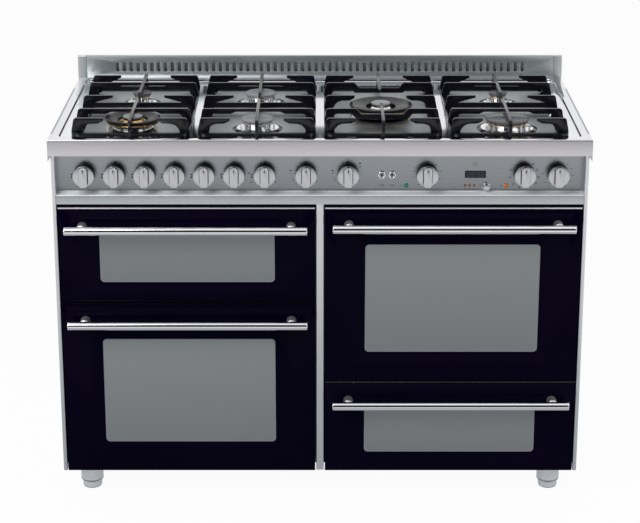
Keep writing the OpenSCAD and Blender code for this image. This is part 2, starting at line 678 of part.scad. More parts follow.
module indicator_lenses() color([0.2, 0.5, 0.25]) {
  for (l = lamp_at) translate([l[0], yp, zt + l[1]]) {
    rod_y(l[2], [0, -2, 0], 2, $fn = 24);
    rod_y(l[2] - 1.2, [0, -1, 0], 8, $fn = 24);
  }
  translate([display_at[0], yp, zt + display_at[1]]) {
    box([-23.5, -1.5, -8.3], [23.5, 0, 8.3]);
    box([-20.7, -1, -5.7], [20.7, 12, 5.7]);
  }
}

// Gas taps on their rail with the inlet, and the switch bodies of the ovens
module taps_and_switches() color(brass) {
  yt = yp + sheet;
  difference() {
    union() {
      for (i = [0 : 6]) box([knob_x[i] - 11, yt, zk - 11], [knob_x[i] + 11, yt + 40, zk + 11]);
      rod_x(8, [inlet_x, yt + 40, zk], knob_x[6] - inlet_x + 8);
      rod_y(8, [inlet_x, yt + 40, zk], yr - yt - 35);
      rod_y(15, [inlet_x, yr, zk], 10, $fn = 6);
      rod_y(10.48, [inlet_x, yr + 9, zk], 16);
    }
    for (i = [0 : 6]) rod_y(spindle_r + spindle_fit, [knob_x[i], yt - 1, zk], 30, $fn = 24);
    rod_y(7, [inlet_x, yr + 5, zk], 40);
  }
  for (i = [7 : 11]) difference() {
    box([knob_x[i] - 20, yt, zk - 20], [knob_x[i] + 20, yt + 34, zk + 20]);
    rod_y(spindle_r + spindle_fit, [knob_x[i], yt - 1, zk], 30, $fn = 24);
  }
}

// Adjustable foot: disc and threaded stem in its sleeve
module foot(sx, i) color(dark) translate([sx * foot_x, foot_y[i], 0]) {
  cylinder(r1 = foot_r - 1.5, r2 = foot_r, h = 1.5);
  translate([0, 0, 1.5]) cylinder(r = foot_r, h = foot_h - 1.5);
  translate([0, 0, foot_h - 1]) cylinder(r = 10, h = foot_travel + 11);
}

module foot_1() foot(-1, 0);
module foot_2() foot(1, 0);
module foot_3() foot(-1, 1);
module foot_4() foot(1, 1);

hob_top();
upstand();
left_side_panel();
right_side_panel();
back_panel();
base_pan();
centre_divider();
control_panel();
grill_oven_liner();
left_oven_liner();
right_oven_liner();
door_seals();
oven_shelves();
heating_elements();
fan_housings();
left_fan();
right_fan();
drawer_runners();
drawer_box();
drawer_glass();
drawer_handle();
grill_door_frame();
grill_door_glass();
grill_door_inner_glass();
grill_door_handle();
left_door_frame();
left_door_glass();
left_door_inner_glass();
left_door_handle();
right_door_frame();
right_door_glass();
right_door_inner_glass();
right_door_handle();
burner_cups();
burner_caps();
pan_support_1();
pan_support_2();
pan_support_3();
pan_support_4();
knob_1();
knob_2();
knob_3();
knob_4();
knob_5();
knob_6();
knob_7();
knob_8();
knob_9();
knob_10();
knob_11();
knob_12();
timer_knob();
button_1();
button_2();
indicator_lenses();
taps_and_switches();
foot_1();
foot_2();
foot_3();
foot_4();
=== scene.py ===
import math

import bmesh
import bpy
from mathutils import Matrix, Vector


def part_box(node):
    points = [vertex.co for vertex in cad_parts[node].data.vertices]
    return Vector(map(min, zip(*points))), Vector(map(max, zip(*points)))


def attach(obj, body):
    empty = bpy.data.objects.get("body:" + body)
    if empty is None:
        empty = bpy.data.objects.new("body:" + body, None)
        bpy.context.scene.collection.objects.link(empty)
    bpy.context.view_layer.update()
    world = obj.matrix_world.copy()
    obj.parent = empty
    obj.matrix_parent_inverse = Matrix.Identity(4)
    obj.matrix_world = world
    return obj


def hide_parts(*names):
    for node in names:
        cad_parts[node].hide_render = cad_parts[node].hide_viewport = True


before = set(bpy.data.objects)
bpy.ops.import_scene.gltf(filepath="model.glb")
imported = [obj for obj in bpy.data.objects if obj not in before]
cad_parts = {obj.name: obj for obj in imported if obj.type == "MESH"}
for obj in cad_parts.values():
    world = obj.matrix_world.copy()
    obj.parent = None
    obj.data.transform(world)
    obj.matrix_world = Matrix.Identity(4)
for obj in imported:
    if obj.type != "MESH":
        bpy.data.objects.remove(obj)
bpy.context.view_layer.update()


# Camera: it stands in front of the middle of the cooker, above the hob, and looks down a little.
# The distances are from the front edge and the rim of the hob.
hob_low, hob_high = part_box("hob_top")
camera_back = 4.109
camera_up = 1.110
tilt_down = math.radians(17.76)
bpy.ops.object.camera_add(
    location=(0, hob_low.y - camera_back, hob_high.z + camera_up),
    rotation=(math.radians(90) - tilt_down, 0, 0),
)
camera = bpy.context.object
camera.data.lens = 109
camera.data.shift_y = -0.05
bpy.context.scene.camera = camera


# Studio: an even white room with one large soft lamp over the front left and a weaker one at
# the right. The camera, glossy and see-through rays meet plain white, all others a dimmer room.
# Behind the camera hangs a dark curtain, which only polished pieces show, as dark lines.
mix_a, mix_b, mixed = 6, 7, 2  # the sockets of a Mix node that hold its two colours and its result


def add(owner, kind, values=(), links=(), **settings):
    """Adds one node to a finish or a world, with its settings, its values and what feeds it. What
    feeds it is an output, or a node, which stands for its first output."""
    made = owner.node_tree.nodes.new("ShaderNode" + kind)
    for name, value in settings.items():
        setattr(made, name, value)
    for socket, value in dict(values).items():
        made.inputs[socket].default_value = value
    for socket, source in dict(links).items():
        owner.node_tree.links.new(getattr(source, "outputs", [source])[0], made.inputs[socket])
    return made


def tint(code):
    """The linear colour of an sRGB hex code."""
    parts = [int(code[i:i + 2], 16) / 255 for i in (1, 3, 5)]
    return [c / 12.92 if c < 0.04045 else ((c + 0.055) / 1.055) ** 2.4 for c in parts] + [1]


def sees_backdrop(owner):
    """1 for the rays that should meet the plain white backdrop, else 0."""
    path = add(owner, "LightPath").outputs
    seen = add(owner, "Math", operation="MAXIMUM",
               links={0: path["Is Camera Ray"], 1: path["Is Glossy Ray"]})
    return add(owner, "Math", operation="MAXIMUM",
               links={0: seen, 1: path["Is Transmission Ray"]})


room = bpy.data.worlds.new("white_room")
room.use_nodes = True
room.node_tree.nodes.clear()
room_light = add(room, "Mix", data_type="RGBA", values={mix_a: tint("#b4b6ba"), mix_b: tint("#ffffff")},
                 links={0: sees_backdrop(room)}).outputs[mixed]
looking = add(room, "SeparateXYZ", links={0: add(room, "TexCoord").outputs["Generated"]}).outputs
ahead = add(room, "MapRange", values={"From Min": 0, "From Max": -0.25}, links={"Value": looking["Y"]})
below = add(room, "MapRange", values={"From Min": 0.80, "From Max": 0.70}, links={"Value": looking["Z"]})
curtain = add(room, "Math", operation="MULTIPLY", links={0: ahead, 1: below})
curtain = add(room, "Math", operation="MULTIPLY",
              links={0: curtain, 1: add(room, "LightPath").outputs["Is Glossy Ray"]})
room_light = add(room, "Mix", data_type="RGBA", values={mix_b: tint("#2a2c31")},
                 links={0: curtain, mix_a: room_light}).outputs[mixed]
room_back = add(room, "Background", links={"Color": room_light})
add(room, "OutputWorld", links={"Surface": room_back})
bpy.context.scene.world = room
bpy.context.scene.view_settings.view_transform = "Standard"

aim = Vector((0, 0, 0.5))
for name, place, size, watts in (("key", (-2.2, -2.6, 3.2), 2.6, 95), ("fill", (2.8, -2.2, 2.0), 2.0, 30)):
    bpy.ops.object.light_add(type="AREA", location=place)
    lamp = bpy.context.object
    lamp.name = "lamp_" + name
    lamp.rotation_euler = (aim - Vector(place)).to_track_quat("-Z", "Y").to_euler()
    lamp.data.size = size
    lamp.data.energy = watts


# Base pan: a shallow folded tray of galvanised sheet that carries everything, with a turned
# and bright plated sleeve welded under each corner for a foot.
def new_finish(name):
    """An empty finish, which its nodes are added to."""
    finish = bpy.data.materials.new(name)
    finish.use_nodes = True
    finish.node_tree.nodes.clear()
    return finish


def show(finish, shader):
    """Makes a shader the one that the finish shows."""
    add(finish, "OutputMaterial", links={"Surface": shader})
    return finish


def grain(finish, per_metre, **values):
    """Noise on the piece's own coordinates, with so many waves to the metre, all ways or along
    X, Y and Z."""
    scale = per_metre if isinstance(per_metre, tuple) else (per_metre,) * 3
    place = add(finish, "TexCoord").outputs["Object"]
    sized = add(finish, "Mapping", values={"Scale": scale}, links={"Vector": place})
    noise = {"Scale": 1, "Detail": 4, **values}
    return add(finish, "TexNoise", values=noise, links={"Vector": sized}).outputs["Fac"]


def spread(finish, source, low, high):
    """The middle half of a pattern's values, spread between two numbers."""
    return add(finish, "MapRange", links={"Value": source},
               values={"From Min": 0.25, "From Max": 0.75, "To Min": low, "To Max": high})


def between(finish, source, first, second):
    """A colour between two hex codes, by a pattern."""
    return add(finish, "Mix", data_type="RGBA", values={mix_a: tint(first), mix_b: tint(second)},
               links={0: spread(finish, source, 0, 1)}).outputs[mixed]


def surface(finish, tone, fine, dark, light, rough, values=(), relief=None):
    """Shows a surface. Its colour runs between two hex codes with the pattern tone. The pattern
    fine gives its roughness, between two numbers, and its relief, as (metres, strength)."""
    fixed = dict(values)
    links = {"Base Color": between(finish, tone, dark, light)}
    if isinstance(rough, tuple):
        links["Roughness"] = spread(finish, fine, *rough)
    else:
        fixed["Roughness"] = rough
    if relief:
        height, strength = relief
        links["Normal"] = add(finish, "Bump", values={"Distance": height, "Strength": strength},
                              links={"Height": fine})
    return show(finish, add(finish, "BsdfPrincipled", values=fixed, links=links))


def mottled(name, per_metre, dark, light, rough, values=(), relief=None, **noise):
    """A finish in which one fine grain gives the colour, the roughness and the relief."""
    finish = new_finish(name)
    fine = grain(finish, per_metre, **noise)
    return surface(finish, fine, fine, dark, light, rough, values, relief)


def dress(finish, *nodes):
    """Gives pieces of the frame their finish. Their shape stays as it is."""
    for name in nodes:
        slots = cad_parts[name].data.materials
        slots.clear()
        slots.append(finish)


def afresh():
    """Leaves edit mode and deselects everything."""
    if bpy.context.mode != "OBJECT":
        bpy.ops.object.mode_set(mode="OBJECT")
    bpy.ops.object.select_all(action="DESELECT")


def take(piece):
    """Makes a piece the one that the next step works on."""
    afresh()
    piece.select_set(True)
    bpy.context.view_layer.objects.active = piece


def edit(piece):
    """Opens a piece in edit mode."""
    take(piece)
    bpy.ops.object.mode_set(mode="EDIT")


def everything():
    """Selects all that is in edit mode."""
    bpy.ops.mesh.select_mode(type="VERT")
    bpy.ops.mesh.select_all(action="SELECT")


def named(name):
    """The piece that was just made, with its name."""
    piece = bpy.context.object
    piece.name = piece.data.name = name
    return piece


def middle_of(node):
    """The middle of a node's box."""
    low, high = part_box(node)
    return (low + high) / 2


def extrude(*move):
    """Extrudes what is selected along X, Y and Z."""
    bpy.ops.mesh.extrude_region_move(TRANSFORM_OT_translate={"value": move})


def turned(name, centre, outline, axis="Z", steps=48, ring=False, finish=None):
    """A piece turned on a lathe from (radius, height) points. A ring comes back to its first point,
    anything else is closed by flat ends. The height runs up, to the right, or to the front."""
    afresh()
    first = outline[0]
    bpy.ops.mesh.primitive_circle_add(vertices=steps, radius=first[0], location=(0, 0, first[1]),
                                      fill_type="NOTHING" if ring else "NGON")
    piece = named(name)
    bpy.ops.object.transform_apply()
    edit(piece)
    everything()
    points = outline[1:] + [first] if ring else outline[1:]
    for here, there in zip(outline, points):
        extrude(0, 0, there[1] - here[1])
        k = there[0] / here[0]
        bpy.ops.transform.resize(value=(k, k, 1), center_override=(0, 0, there[1]))
    everything()
    bpy.ops.mesh.remove_doubles(threshold=1e-6)
    bpy.ops.mesh.normals_make_consistent(inside=False)
    bpy.ops.object.mode_set(mode="OBJECT")
    piece.rotation_euler = {"Z": (0, 0, 0), "X": (0, math.pi / 2, 0), "Y": (math.pi / 2, 0, 0)}[axis]
    piece.location = centre
    bpy.ops.object.transform_apply()
    if finish:
        piece.data.materials.append(finish)
    return piece


def finished(piece, body, finish, slot, *replaced, smooth=50):
    """Shades a piece, gives it its finish, if one is given, and the body that it rides on, and hides
    the pieces of the frame that it stands for."""
    take(piece)
    bpy.ops.object.shade_smooth_by_angle(angle=math.radians(smooth))
    if finish:
        piece.data.materials.append(finish)
    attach(piece, body)
    if replaced:
        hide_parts(*replaced)


# Hot dipped zinc on sheet: flat crystals about 9 mm across, each a slightly other grey.
zinc = new_finish("galvanised_sheet")
place = add(zinc, "TexCoord").outputs["Object"]
cells = add(zinc, "TexVoronoi", values={"Scale": 110}, links={"Vector": place})
crystal = add(zinc, "SeparateColor", links={0: cells.outputs["Color"]})
surface(zinc, crystal, crystal, "#8d9194", "#a6aaac", (0.36, 0.52), {"Metallic": 0.9})
dress(zinc, "base_pan")

# Bright nickel on turned steel: almost a mirror, with the faint rings that the tool left.
nickel = mottled("bright_nickel", (40, 40, 900), "#e6e7e9", "#f2f2f4", (0.14, 0.24), {"Metallic": 0.7})
sleeve_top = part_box("base_pan")[0].z + 0.0498
for i in range(1, 5):
    middle = middle_of(f"foot_{i}")
    sleeve = turned(f"leg_sleeve_{i}", (middle.x, middle.y, 0), [
        (0.0105, 0.0192), (0.0240, 0.0192), (0.0261, 0.0215), (0.0261, 0.0600), (0.0264, 0.0612),
        (0.0264, sleeve_top), (0.0105, sleeve_top)], ring=True, steps=64)
    finished(sleeve, "cooker", nickel, "polished", smooth=30)


# Feet: turned discs on threaded stems that wind up into the sleeves, so the cooker can be levelled.
# The tread is a thin dark rubber washer under the disc.

# Moulded black rubber: matt, with a fine pebbled skin of about half a millimetre.
black_rubber = mottled("black_rubber", 2000, "#17171a", "#222226", 0.75, relief=(0.0002, 0.5), Detail=2)
thread_foot = 0.0200
thread_pitch = 0.0025
for i in range(1, 5):
    middle = middle_of(f"foot_{i}")
    stem_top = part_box(f"foot_{i}")[1].z
    turns = int((stem_top - 0.024) / thread_pitch)
    thread = [point for n in range(turns) for point in (
        (0.0086, thread_foot + n * thread_pitch), (0.0098, thread_foot + (n + 0.5) * thread_pitch))]
    foot = turned(f"foot_disc_{i}", (middle.x, middle.y, 0), [
        (0.0200, 0.0016), (0.0214, 0.0018), (0.0220, 0.0030), (0.0220, 0.0172), (0.0212, 0.0185),
        (0.0100, 0.0186)] + thread + [(0.0084, stem_top)], steps=64)
    finished(foot, f"foot_{i}", nickel, "foot", f"foot_{i}")
    tread = turned(f"foot_tread_{i}", (middle.x, middle.y, 0), [
        (0.0190, 0.0), (0.0206, 0.0003), (0.0208, 0.0014), (0.0204, 0.0017)], steps=64)
    finished(tread, f"foot_{i}", black_rubber, "foot")


# Side panels: stainless sheet with a vertical grind, folded round at the front into a narrow edge
# that the doors close beside. The fold is open to the inside.
sheet = 0.0015
along_z = (900, 900, 12)  # scratches to the metre along X, Y and Z, for a grind that runs upright


def brushed(name, dark, light, scratches_run, rough=(0.26, 0.40), metal=1):
    """Ground stainless sheet: long fine scratches one way, which spread highlights across them.
    The real scratches are under 0.1 mm, and are drawn about 1 mm wide so that they show."""
    finish = new_finish(name)
    scratches = grain(finish, scratches_run, Roughness=0.7)
    clouds = grain(finish, 5, Detail=1)
    both = add(finish, "Math", operation="MULTIPLY_ADD", values={1: 0.3}, links={0: clouds, 2: scratches})
    return surface(finish, both, scratches, dark, light, rough, {"Metallic": metal}, (0.00002, 0.4))


def block(name, low, high):
    """A box between two corners, ready to be shaped."""
    low, high = Vector(low), Vector(high)
    afresh()
    bpy.ops.mesh.primitive_cube_add(size=1, location=(low + high) / 2, scale=high - low)
    piece = named(name)
    bpy.ops.object.transform_apply()
    edit(piece)
    return piece


def pick(kind, wanted):
    """Selects the corners, edges or faces for which wanted(place, direction) is true, in edit mode.
    The direction is a face's normal or an edge's run."""
    bpy.ops.mesh.select_mode(type=kind)
    bpy.ops.mesh.select_all(action="DESELECT")
    mesh = bmesh.from_edit_mesh(bpy.context.edit_object.data)
    if kind == "FACE":
        found = [f for f in mesh.faces if wanted(f.calc_center_median(), f.normal)]
    elif kind == "EDGE":
        found = [e for e in mesh.edges if wanted((e.verts[0].co + e.verts[1].co) / 2,
                                                 (e.verts[1].co - e.verts[0].co).normalized())]
    else:
        found = [v for v in mesh.verts if wanted(v.co, v.normal)]
    for part in found:
        part.select_set(True)
    mesh.select_flush_mode()
    bmesh.update_edit_mesh(bpy.context.edit_object.data)


def leave_out(wanted):
    """Takes away the faces for which wanted(place, normal) is true, and keeps their edges."""
    pick("FACE", wanted)
    bpy.ops.mesh.delete(type="ONLY_FACE")


def rounded(radius, segments, wanted):
    """Rounds the edges for which wanted(place, run) is true."""
    pick("EDGE", wanted)
    bpy.ops.mesh.bevel(offset=radius, segments=segments, affect="EDGES")


def near(a, b, gap=1e-5):
    """Whether two numbers are the same but for rounding."""
    return abs(a - b) < gap


def modified(piece, kind, **settings):
    """Puts a modifier with its settings on a piece, and applies it."""
    take(piece)
    made = piece.modifiers.new(kind, kind)
    for name, value in settings.items():
        setattr(made, name, value)
    bpy.ops.object.modifier_apply(modifier=made.name)


def thicken(piece):
    """Turns a bent skin into sheet steel, on its inner side."""
    modified(piece, "SOLIDIFY", thickness=sheet, offset=-1, use_even_offset=True)


upright = brushed("ground_steel_upright", "#c6c7cb", "#d8d9dc", along_z)
flange = 0.009
cheek = 0.044
for side, name in ((-1, "left"), (1, "right")):
    low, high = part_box(f"{name}_side_panel")
    outer = high.x if side > 0 else low.x
    inner = outer - side * flange
    skin = block(f"{name}_side_skin", (min(outer, inner), low.y, low.z),
                 (max(outer, inner), low.y + cheek, high.z))
    leave_out(lambda p, n: n.y > 0.9 or abs(n.z) > 0.9)
    pick("EDGE", lambda p, d: near(p.x, outer) and near(p.y, low.y + cheek) and abs(d.z) > 0.9)
    extrude(0, high.y - low.y - cheek, 0)
    rounded(0.003, 5, lambda p, d: near(p.y, low.y) and abs(d.z) > 0.9)
    thicken(skin)
    finished(skin, "cooker", upright, "steel", f"{name}_side_panel")


# Back panel: galvanised sheet with a row of vent slots behind each oven, a moulded cable gland
# and the hole that the gas inlet comes out of.
dress(zinc, "back_panel")
gland_x, gland_z = 0.430, 0.159
gland = turned("cable_gland_nut", (gland_x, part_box("back_panel")[1].y - 0.004, gland_z), [
    (0.0112, -0.0110), (0.0150, -0.0110), (0.0160, -0.0100), (0.0160, -0.0060), (0.0150, -0.0050),
    (0.0112, -0.0050)], axis="Y", steps=6, ring=True)
finished(gland, "cooker", black_rubber, "seal", smooth=20)


# Centre divider: the upright web between the two sides, with a folded stile at its front edge.
low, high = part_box("centre_divider")
half_stile = 0.0085
stile_top = 0.715
web_top = 0.7345
stile = block("centre_stile", (-half_stile, low.y, low.z), (half_stile, low.y + cheek, stile_top))
leave_out(lambda p, n: n.y > 0.9 or abs(n.z) > 0.9)
rounded(0.0025, 4, lambda p, d: near(p.y, low.y) and abs(d.z) > 0.9)
thicken(stile)
finished(stile, "cooker", upright, "steel")
web = block("centre_web", (-sheet / 2, low.y + 0.002, low.z), (sheet / 2, high.y, web_top))
bpy.ops.mesh.subdivide(number_cuts=1)
finished(web, "cooker", zinc, "steel", "centre_divider")


# Oven linings: boxes pressed and welded from steel sheet, with a front plate, ledges for the
# shelves and hinge eyes. They are glazed with vitreous enamel, so that they wipe clean.

# Dark grey glass fired on steel: glossy and a little wavy, with pale specks under 1 mm.
enamel = new_finish("grey_vitreous_enamel")
place = add(enamel, "TexCoord").outputs["Object"]
cells = add(enamel, "TexVoronoi", values={"Scale": 260}, links={"Vector": place})
speck = add(enamel, "Math", operation="LESS_THAN", values={1: 0.16}, links={0: cells.outputs["Distance"]})
waves = grain(enamel, 60, Detail=1)
surface(enamel, speck, waves, "#303236", "#8b8d92", 0.22, relief=(0.0004, 0.4))
dress(enamel, "grill_oven_liner", "left_oven_liner", "right_oven_liner")


# Oven door seals: grey silicone rings with round corners, pushed on to the front plates.
# They are matt, and slightly paler than the enamel.

# Extruded silicone rubber: matt, with a soft bloom that makes it a little uneven.
grey_silicone = mottled("grey_silicone", 90, "#3a3b3e", "#47484b", 0.62)
dress(grey_silicone, "door_seals")


# Oven shelves: a frame of 5 mm steel wire bent round at its corners, with thirteen thin wires
# welded across, all chrome plated.
def flat_frame(name, low, high):
    """The four edges of a level rectangle, ready to be shaped."""
    low, high = Vector(low), Vector(high)
    afresh()
    bpy.ops.mesh.primitive_plane_add(size=1, location=(low + high) / 2)
    piece = named(name)
    piece.scale = (high.x - low.x, high.y - low.y, 1)
    bpy.ops.object.transform_apply()
    edit(piece)
    leave_out(lambda p, n: True)
    everything()


def as_wire(radius):
    """Turns the edges of the piece in hand into round wire."""
    bpy.ops.object.mode_set(mode="OBJECT")
    bpy.ops.object.convert(target="CURVE")
    wire = bpy.context.object
    wire.data.bevel_depth = radius
    wire.data.bevel_resolution = 2
    wire.data.use_fill_caps = True
    bpy.ops.object.convert(target="MESH")
    return bpy.context.object


def joined(name, *pieces):
    """Welds pieces into one."""
    take(pieces[0])
    for one in pieces:
        one.select_set(True)
    bpy.ops.object.join()
    return named(name)


all_metal = {"Metallic": 1}
# Chrome over nickel on steel: a clean cool mirror, with the faintest polishing haze.
chrome = mottled("polished_chrome", 300, "#e4e5e8", "#eff0f2", (0.07, 0.13), all_metal, Detail=2)
doors = {name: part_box(f"{name}_glass") for name in ("grill_door", "left_door", "right_door", "drawer")}
wire = 0.0025
thin_wire = 0.0012
wires_across = 13
shelf_width = 0.436
shelf_front = -0.199
shelf_back = 0.091
cavity_up = 0.042
shelf_up = {"grill_door": 0.040, "left_door": 0.150, "right_door": 0.150}
for number, (door, up) in enumerate(shelf_up.items(), 1):
    low, high = doors[door]
    middle = (low.x + high.x) / 2
    height = low.z + cavity_up + up + wire + 0.0003
    left, right = middle - shelf_width / 2 + wire, middle + shelf_width / 2 - wire
    front, back = shelf_front + wire, shelf_back - wire
    flat_frame("rim", (left, front, height), (right, back, height))
    bpy.ops.mesh.bevel(offset=0.014, segments=6, affect="VERTICES")
    rim = as_wire(wire)
    step = shelf_width / (wires_across + 1)
    flat_frame("bars", (left - wire + step, front, height + 0.001), (left, back, height + 0.001))
    pick("VERT", lambda p, n: near(p.x, left))
    bpy.ops.mesh.delete(type="VERT")
    everything()
    for n in range(wires_across - 1):
        bpy.ops.mesh.duplicate_move(TRANSFORM_OT_translate={"value": (step, 0, 0)})
    bars = as_wire(thin_wire)
    shelf = joined(f"oven_shelf_{number}", rim, bars)
    finished(shelf, "cooker", chrome, "polished", *(["oven_shelves"] if number == 1 else []))


# Heating elements: steel sheathed rods, bent to shape. The sheath has gone dull and dark in use.
# The grill's element hangs under its roof, and each fan oven has a ring round its fan.

# Stainless tube oxidised by heat: dull brown black, with patches that kept some metal.
sheath = mottled("oxidised_steel_sheath", 120, "#2b2725", "#4a4542", (0.42, 0.62), {"Metallic": 0.6})
dress(sheath, "heating_elements")


# Fan covers and fans: the covers are pressed and enamelled like the ovens, over plated motors.
# The wheels are stamped from bright aluminised sheet.
dress(enamel, "fan_housings")
dress(zinc, "left_fan", "right_fan")


# Storage drawer: a folded box of sheet, enamelled dark grey like the ovens as painted shade, so that
# nothing shines in the gap above it. It slides on two galvanised runners.
dress(zinc, "drawer_runners")
# Painted shade: the dark enamel keeps the gap above the drawer dark.
dress(enamel, "drawer_box")


# Oven doors: folded steel frames, flat black as painted shade, with an inner pane of clear glass
# clamped behind the window. The outer pane hides the frame, which shows only from the side and the back.

# Flat black on folded steel, as painted shade: quite dull, so that the gaps between the doors stay dark.
frame_painted_shade = mottled("flat_black_painted_shade", 500, "#0b0b10", "#131318", 0.7, {"Specular IOR Level": 0.04})
# Float glass, slightly smoked by the heat coat on it: the oven shows through.
glass = mottled("clear_float_glass", 4, "#75797b", "#7f8385", 0.04, {"Alpha": 0.3}, Detail=1)
for door in ("grill_door", "left_door", "right_door"):
    dress(frame_painted_shade, f"{door}_frame")
    dress(glass, f"{door}_inner_glass")


# Door and drawer glass: 4 mm toughened glass with ground edges, printed black on its back. Where
# the print stops, a coated window is left, with round corners and a thin paler line round it.
# A folded steel trim is clipped over the top edge of the two upper doors' glass.
def window_coat_with_painted_light(name, bottom, top):
    """Heat coat on glass: an even grey the oven barely shows through, paler higher up as painted light."""
    finish = new_finish(name)
    place = add(finish, "SeparateXYZ", links={0: add(finish, "TexCoord").outputs["Object"]}).outputs
    # Painted light: the grey runs paler from the bottom of the window to its top.
    share = add(finish, "MapRange", values={"From Min": bottom, "From Max": top},
                links={"Value": place["Z"]})
    colour = add(finish, "Mix", data_type="RGBA", links={0: share},
                 values={mix_a: tint("#797d7e"), mix_b: tint("#878b8b")})
    return show(finish, add(
        finish, "BsdfPrincipled", values={"Roughness": 0.05, "Alpha": 0.88, "Specular IOR Level": 0.05},
        links={"Base Color": colour.outputs[mixed]}))


def plate(name, x, z, wide, tall, front, back, radius, segments=6):
    """A plate with round corners that faces the front, in edit mode. It reaches so far from its
    middle to each side, and up and down."""
    piece = block(name, (x - wide, front, z - tall), (x + wide, back, z + tall))
    rounded(radius, segments, lambda p, d: abs(d.y) > 0.9)
    return piece


def soften(piece, width, segments=2, angle=40):
    """Rounds the sharp edges of a piece a little."""
    modified(piece, "BEVEL", width=width, segments=segments, limit_method="ANGLE",
             angle_limit=math.radians(angle))


def paint(piece, finish, wanted):
    """Gives the faces for which wanted(place, normal) is true a further finish, in edit mode."""
    pick("FACE", wanted)
    piece.data.materials.append(finish)
    piece.active_material_index = len(piece.data.materials) - 1
    bpy.ops.object.material_slot_assign()


# Black ceramic ink behind glass: nearly black with a hint of violet, and very smooth.
printed = mottled("black_printed_glass", 3, "#050211", "#070316", 0.04, {"Specular IOR Level": 0.02},
                  Detail=1)
# Paler lilac ink: the thin line that frames each window.
line_ink = mottled("window_line_ink", 3, "#76767f", "#80808b", 0.05, {"Specular IOR Level": 0.05},
                   Detail=1)
window_half = 0.196
corner = 0.009
line_width = 0.0020
skin_gap = 0.0001
# How far each window stays above the bottom and below the top of its glass.
windows = {"grill_door": (0.049, 0.0505), "left_door": (0.073, 0.0825), "right_door": (0.072, 0.0865),
           "drawer": (0.0475, 0.0585)}
for door, (up, down) in windows.items():
    low, high = doors[door]
    middle = (low.x + high.x) / 2
    foot, head = low.z + up, high.z - down
    level, window_tall = (head + foot) / 2, (head - foot) / 2
    pane = block(f"{door}_pane", low, high)
    opening = plate("opening", middle, level, window_half, window_tall, low.y - 0.01, high.y + 0.01, corner)
    modified(pane, "BOOLEAN", object=opening)
    bpy.data.objects.remove(opening)
    soften(pane, 0.0006)
    finished(pane, door, printed, "black_glass", f"{door}_glass", smooth=30)
    window = plate(f"{door}_window", middle, level, window_half - skin_gap, window_tall - skin_gap,
                   low.y + skin_gap, high.y - skin_gap, corner)
    window.data.materials.append(window_coat_with_painted_light(f"{door}_heat_coat_painted_light", foot, head))
    pick("FACE", lambda p, n: n.y < -0.9)
    bpy.ops.mesh.inset(thickness=line_width)
    paint(window, line_ink, lambda p, n: n.y < -0.9 and (
        abs(p.x - middle) > 0.02 or abs(p.z - level) > 0.01))
    finished(window, door, None, "black_glass", smooth=30)
trim_height = 0.0034
proud = 0.0001
for door in ("grill_door", "right_door"):
    low, high = doors[door]
    trim = block(f"{door}_glass_trim", (low.x + 0.0004, low.y - proud, high.z - trim_height),
                 (high.x - 0.0004, high.y, high.z + proud))
    soften(trim, 0.0003)
    finished(trim, door, upright, "steel", smooth=30)


# Bar handles: chromed steel tube with a plug pressed into each end, screwed through the glass on
# two turned posts of satin steel.
all_ways = 900  # the same, but for a grind with no direction
satin_post = brushed("satin_steel_post", "#e2e2e4", "#eeeeef", all_ways, (0.40, 0.50))
bar_radius = 0.010
post_half = 0.233
# Each end of the bar, as radius and distance from the tip: the tube, a fine groove, the round plug.
bar_end = [(0.0100, 0.0025), (0.0097, 0.0022), (0.0100, 0.0020), (0.0099, 0.0012), (0.0090, 0.0003),
           (0.0074, 0.0)]
for door in doors:
    low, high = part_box(f"{door}_handle")
    middle = (low + high) / 2
    reach = (high.x - low.x) / 2
    bar_y = low.y + bar_radius
    glass_front = doors[door][0].y
    deep = glass_front - bar_y
    bar = turned(f"{door}_bar", (middle.x, bar_y, middle.z),
                 [(r, far - reach) for r, far in reversed(bar_end)]
                 + [(r, reach - far) for r, far in bar_end], axis="X", steps=64, finish=chrome)
    posts = [turned(f"{door}_post", (middle.x + side * post_half, glass_front, middle.z), [
        (0.0104, 0.0), (0.0110, 0.0006), (0.0110, deep - 0.0092), (0.0104, deep - 0.0082),
        (0.0088, deep - 0.0074), (0.0088, deep)], axis="Y", finish=satin_post) for side in (-1, 1)]
    handle = joined(f"{door}_bar_handle", bar, *posts)
    finished(handle, door, None, "polished", f"{door}_handle", smooth=30)


# Control panel: one ground stainless sheet, bent forward into a narrow ledge and down into a strip
# above the doors. The grind runs along it. Its tones are painted light: the face is darker as painted
# shade, the ledge paler and less metallic as a painted highlight, and the strip lies between them.
control_low, control_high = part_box("control_panel")
face_y = hob_low.y + 0.040
ledge_z = hob_high.z - 0.129
along_x = (12, 900, 900)  # and for one that runs from side to side
# Painted light: one steel in three tones, darker on the face, paler on the ledge, between on the strip.
face_steel_painted_shade = brushed("ground_steel_face_painted_shade", "#8c9093", "#9ca0a4", along_x, (0.22, 0.32))
ledge_steel_painted_highlight = brushed("steel_ledge_painted_highlight", "#eef0f2", "#f6f8f9", (12, 700, 700), (0.30, 0.40), 0.3)
strip_steel_painted_light = brushed("ground_steel_strip_painted_light", "#a9adb2", "#b8bcc1", along_x, (0.22, 0.32))
panel = block("control_panel_sheet", (control_low.x, face_y, ledge_z),
              (control_high.x, face_y + 0.01, control_high.z))
pick("FACE", lambda p, n: n.y > -0.9)
bpy.ops.mesh.delete(type="FACE")
pick("EDGE", lambda p, d: near(p.z, ledge_z) and abs(d.x) > 0.9)
extrude(0, control_low.y - face_y, 0)
extrude(0, 0, control_low.z - ledge_z)
rounded(0.0022, 4, lambda p, d: near(p.z, ledge_z) and abs(d.x) > 0.9)
panel.data.materials.append(face_steel_painted_shade)
paint(panel, ledge_steel_painted_highlight, lambda p, n: n.z > 0.5)
paint(panel, strip_steel_painted_light, lambda p, n: p.z < ledge_z and n.z < 0.5)
thicken(panel)
finished(panel, "cooker", None, "steel", "control_panel", smooth=30)
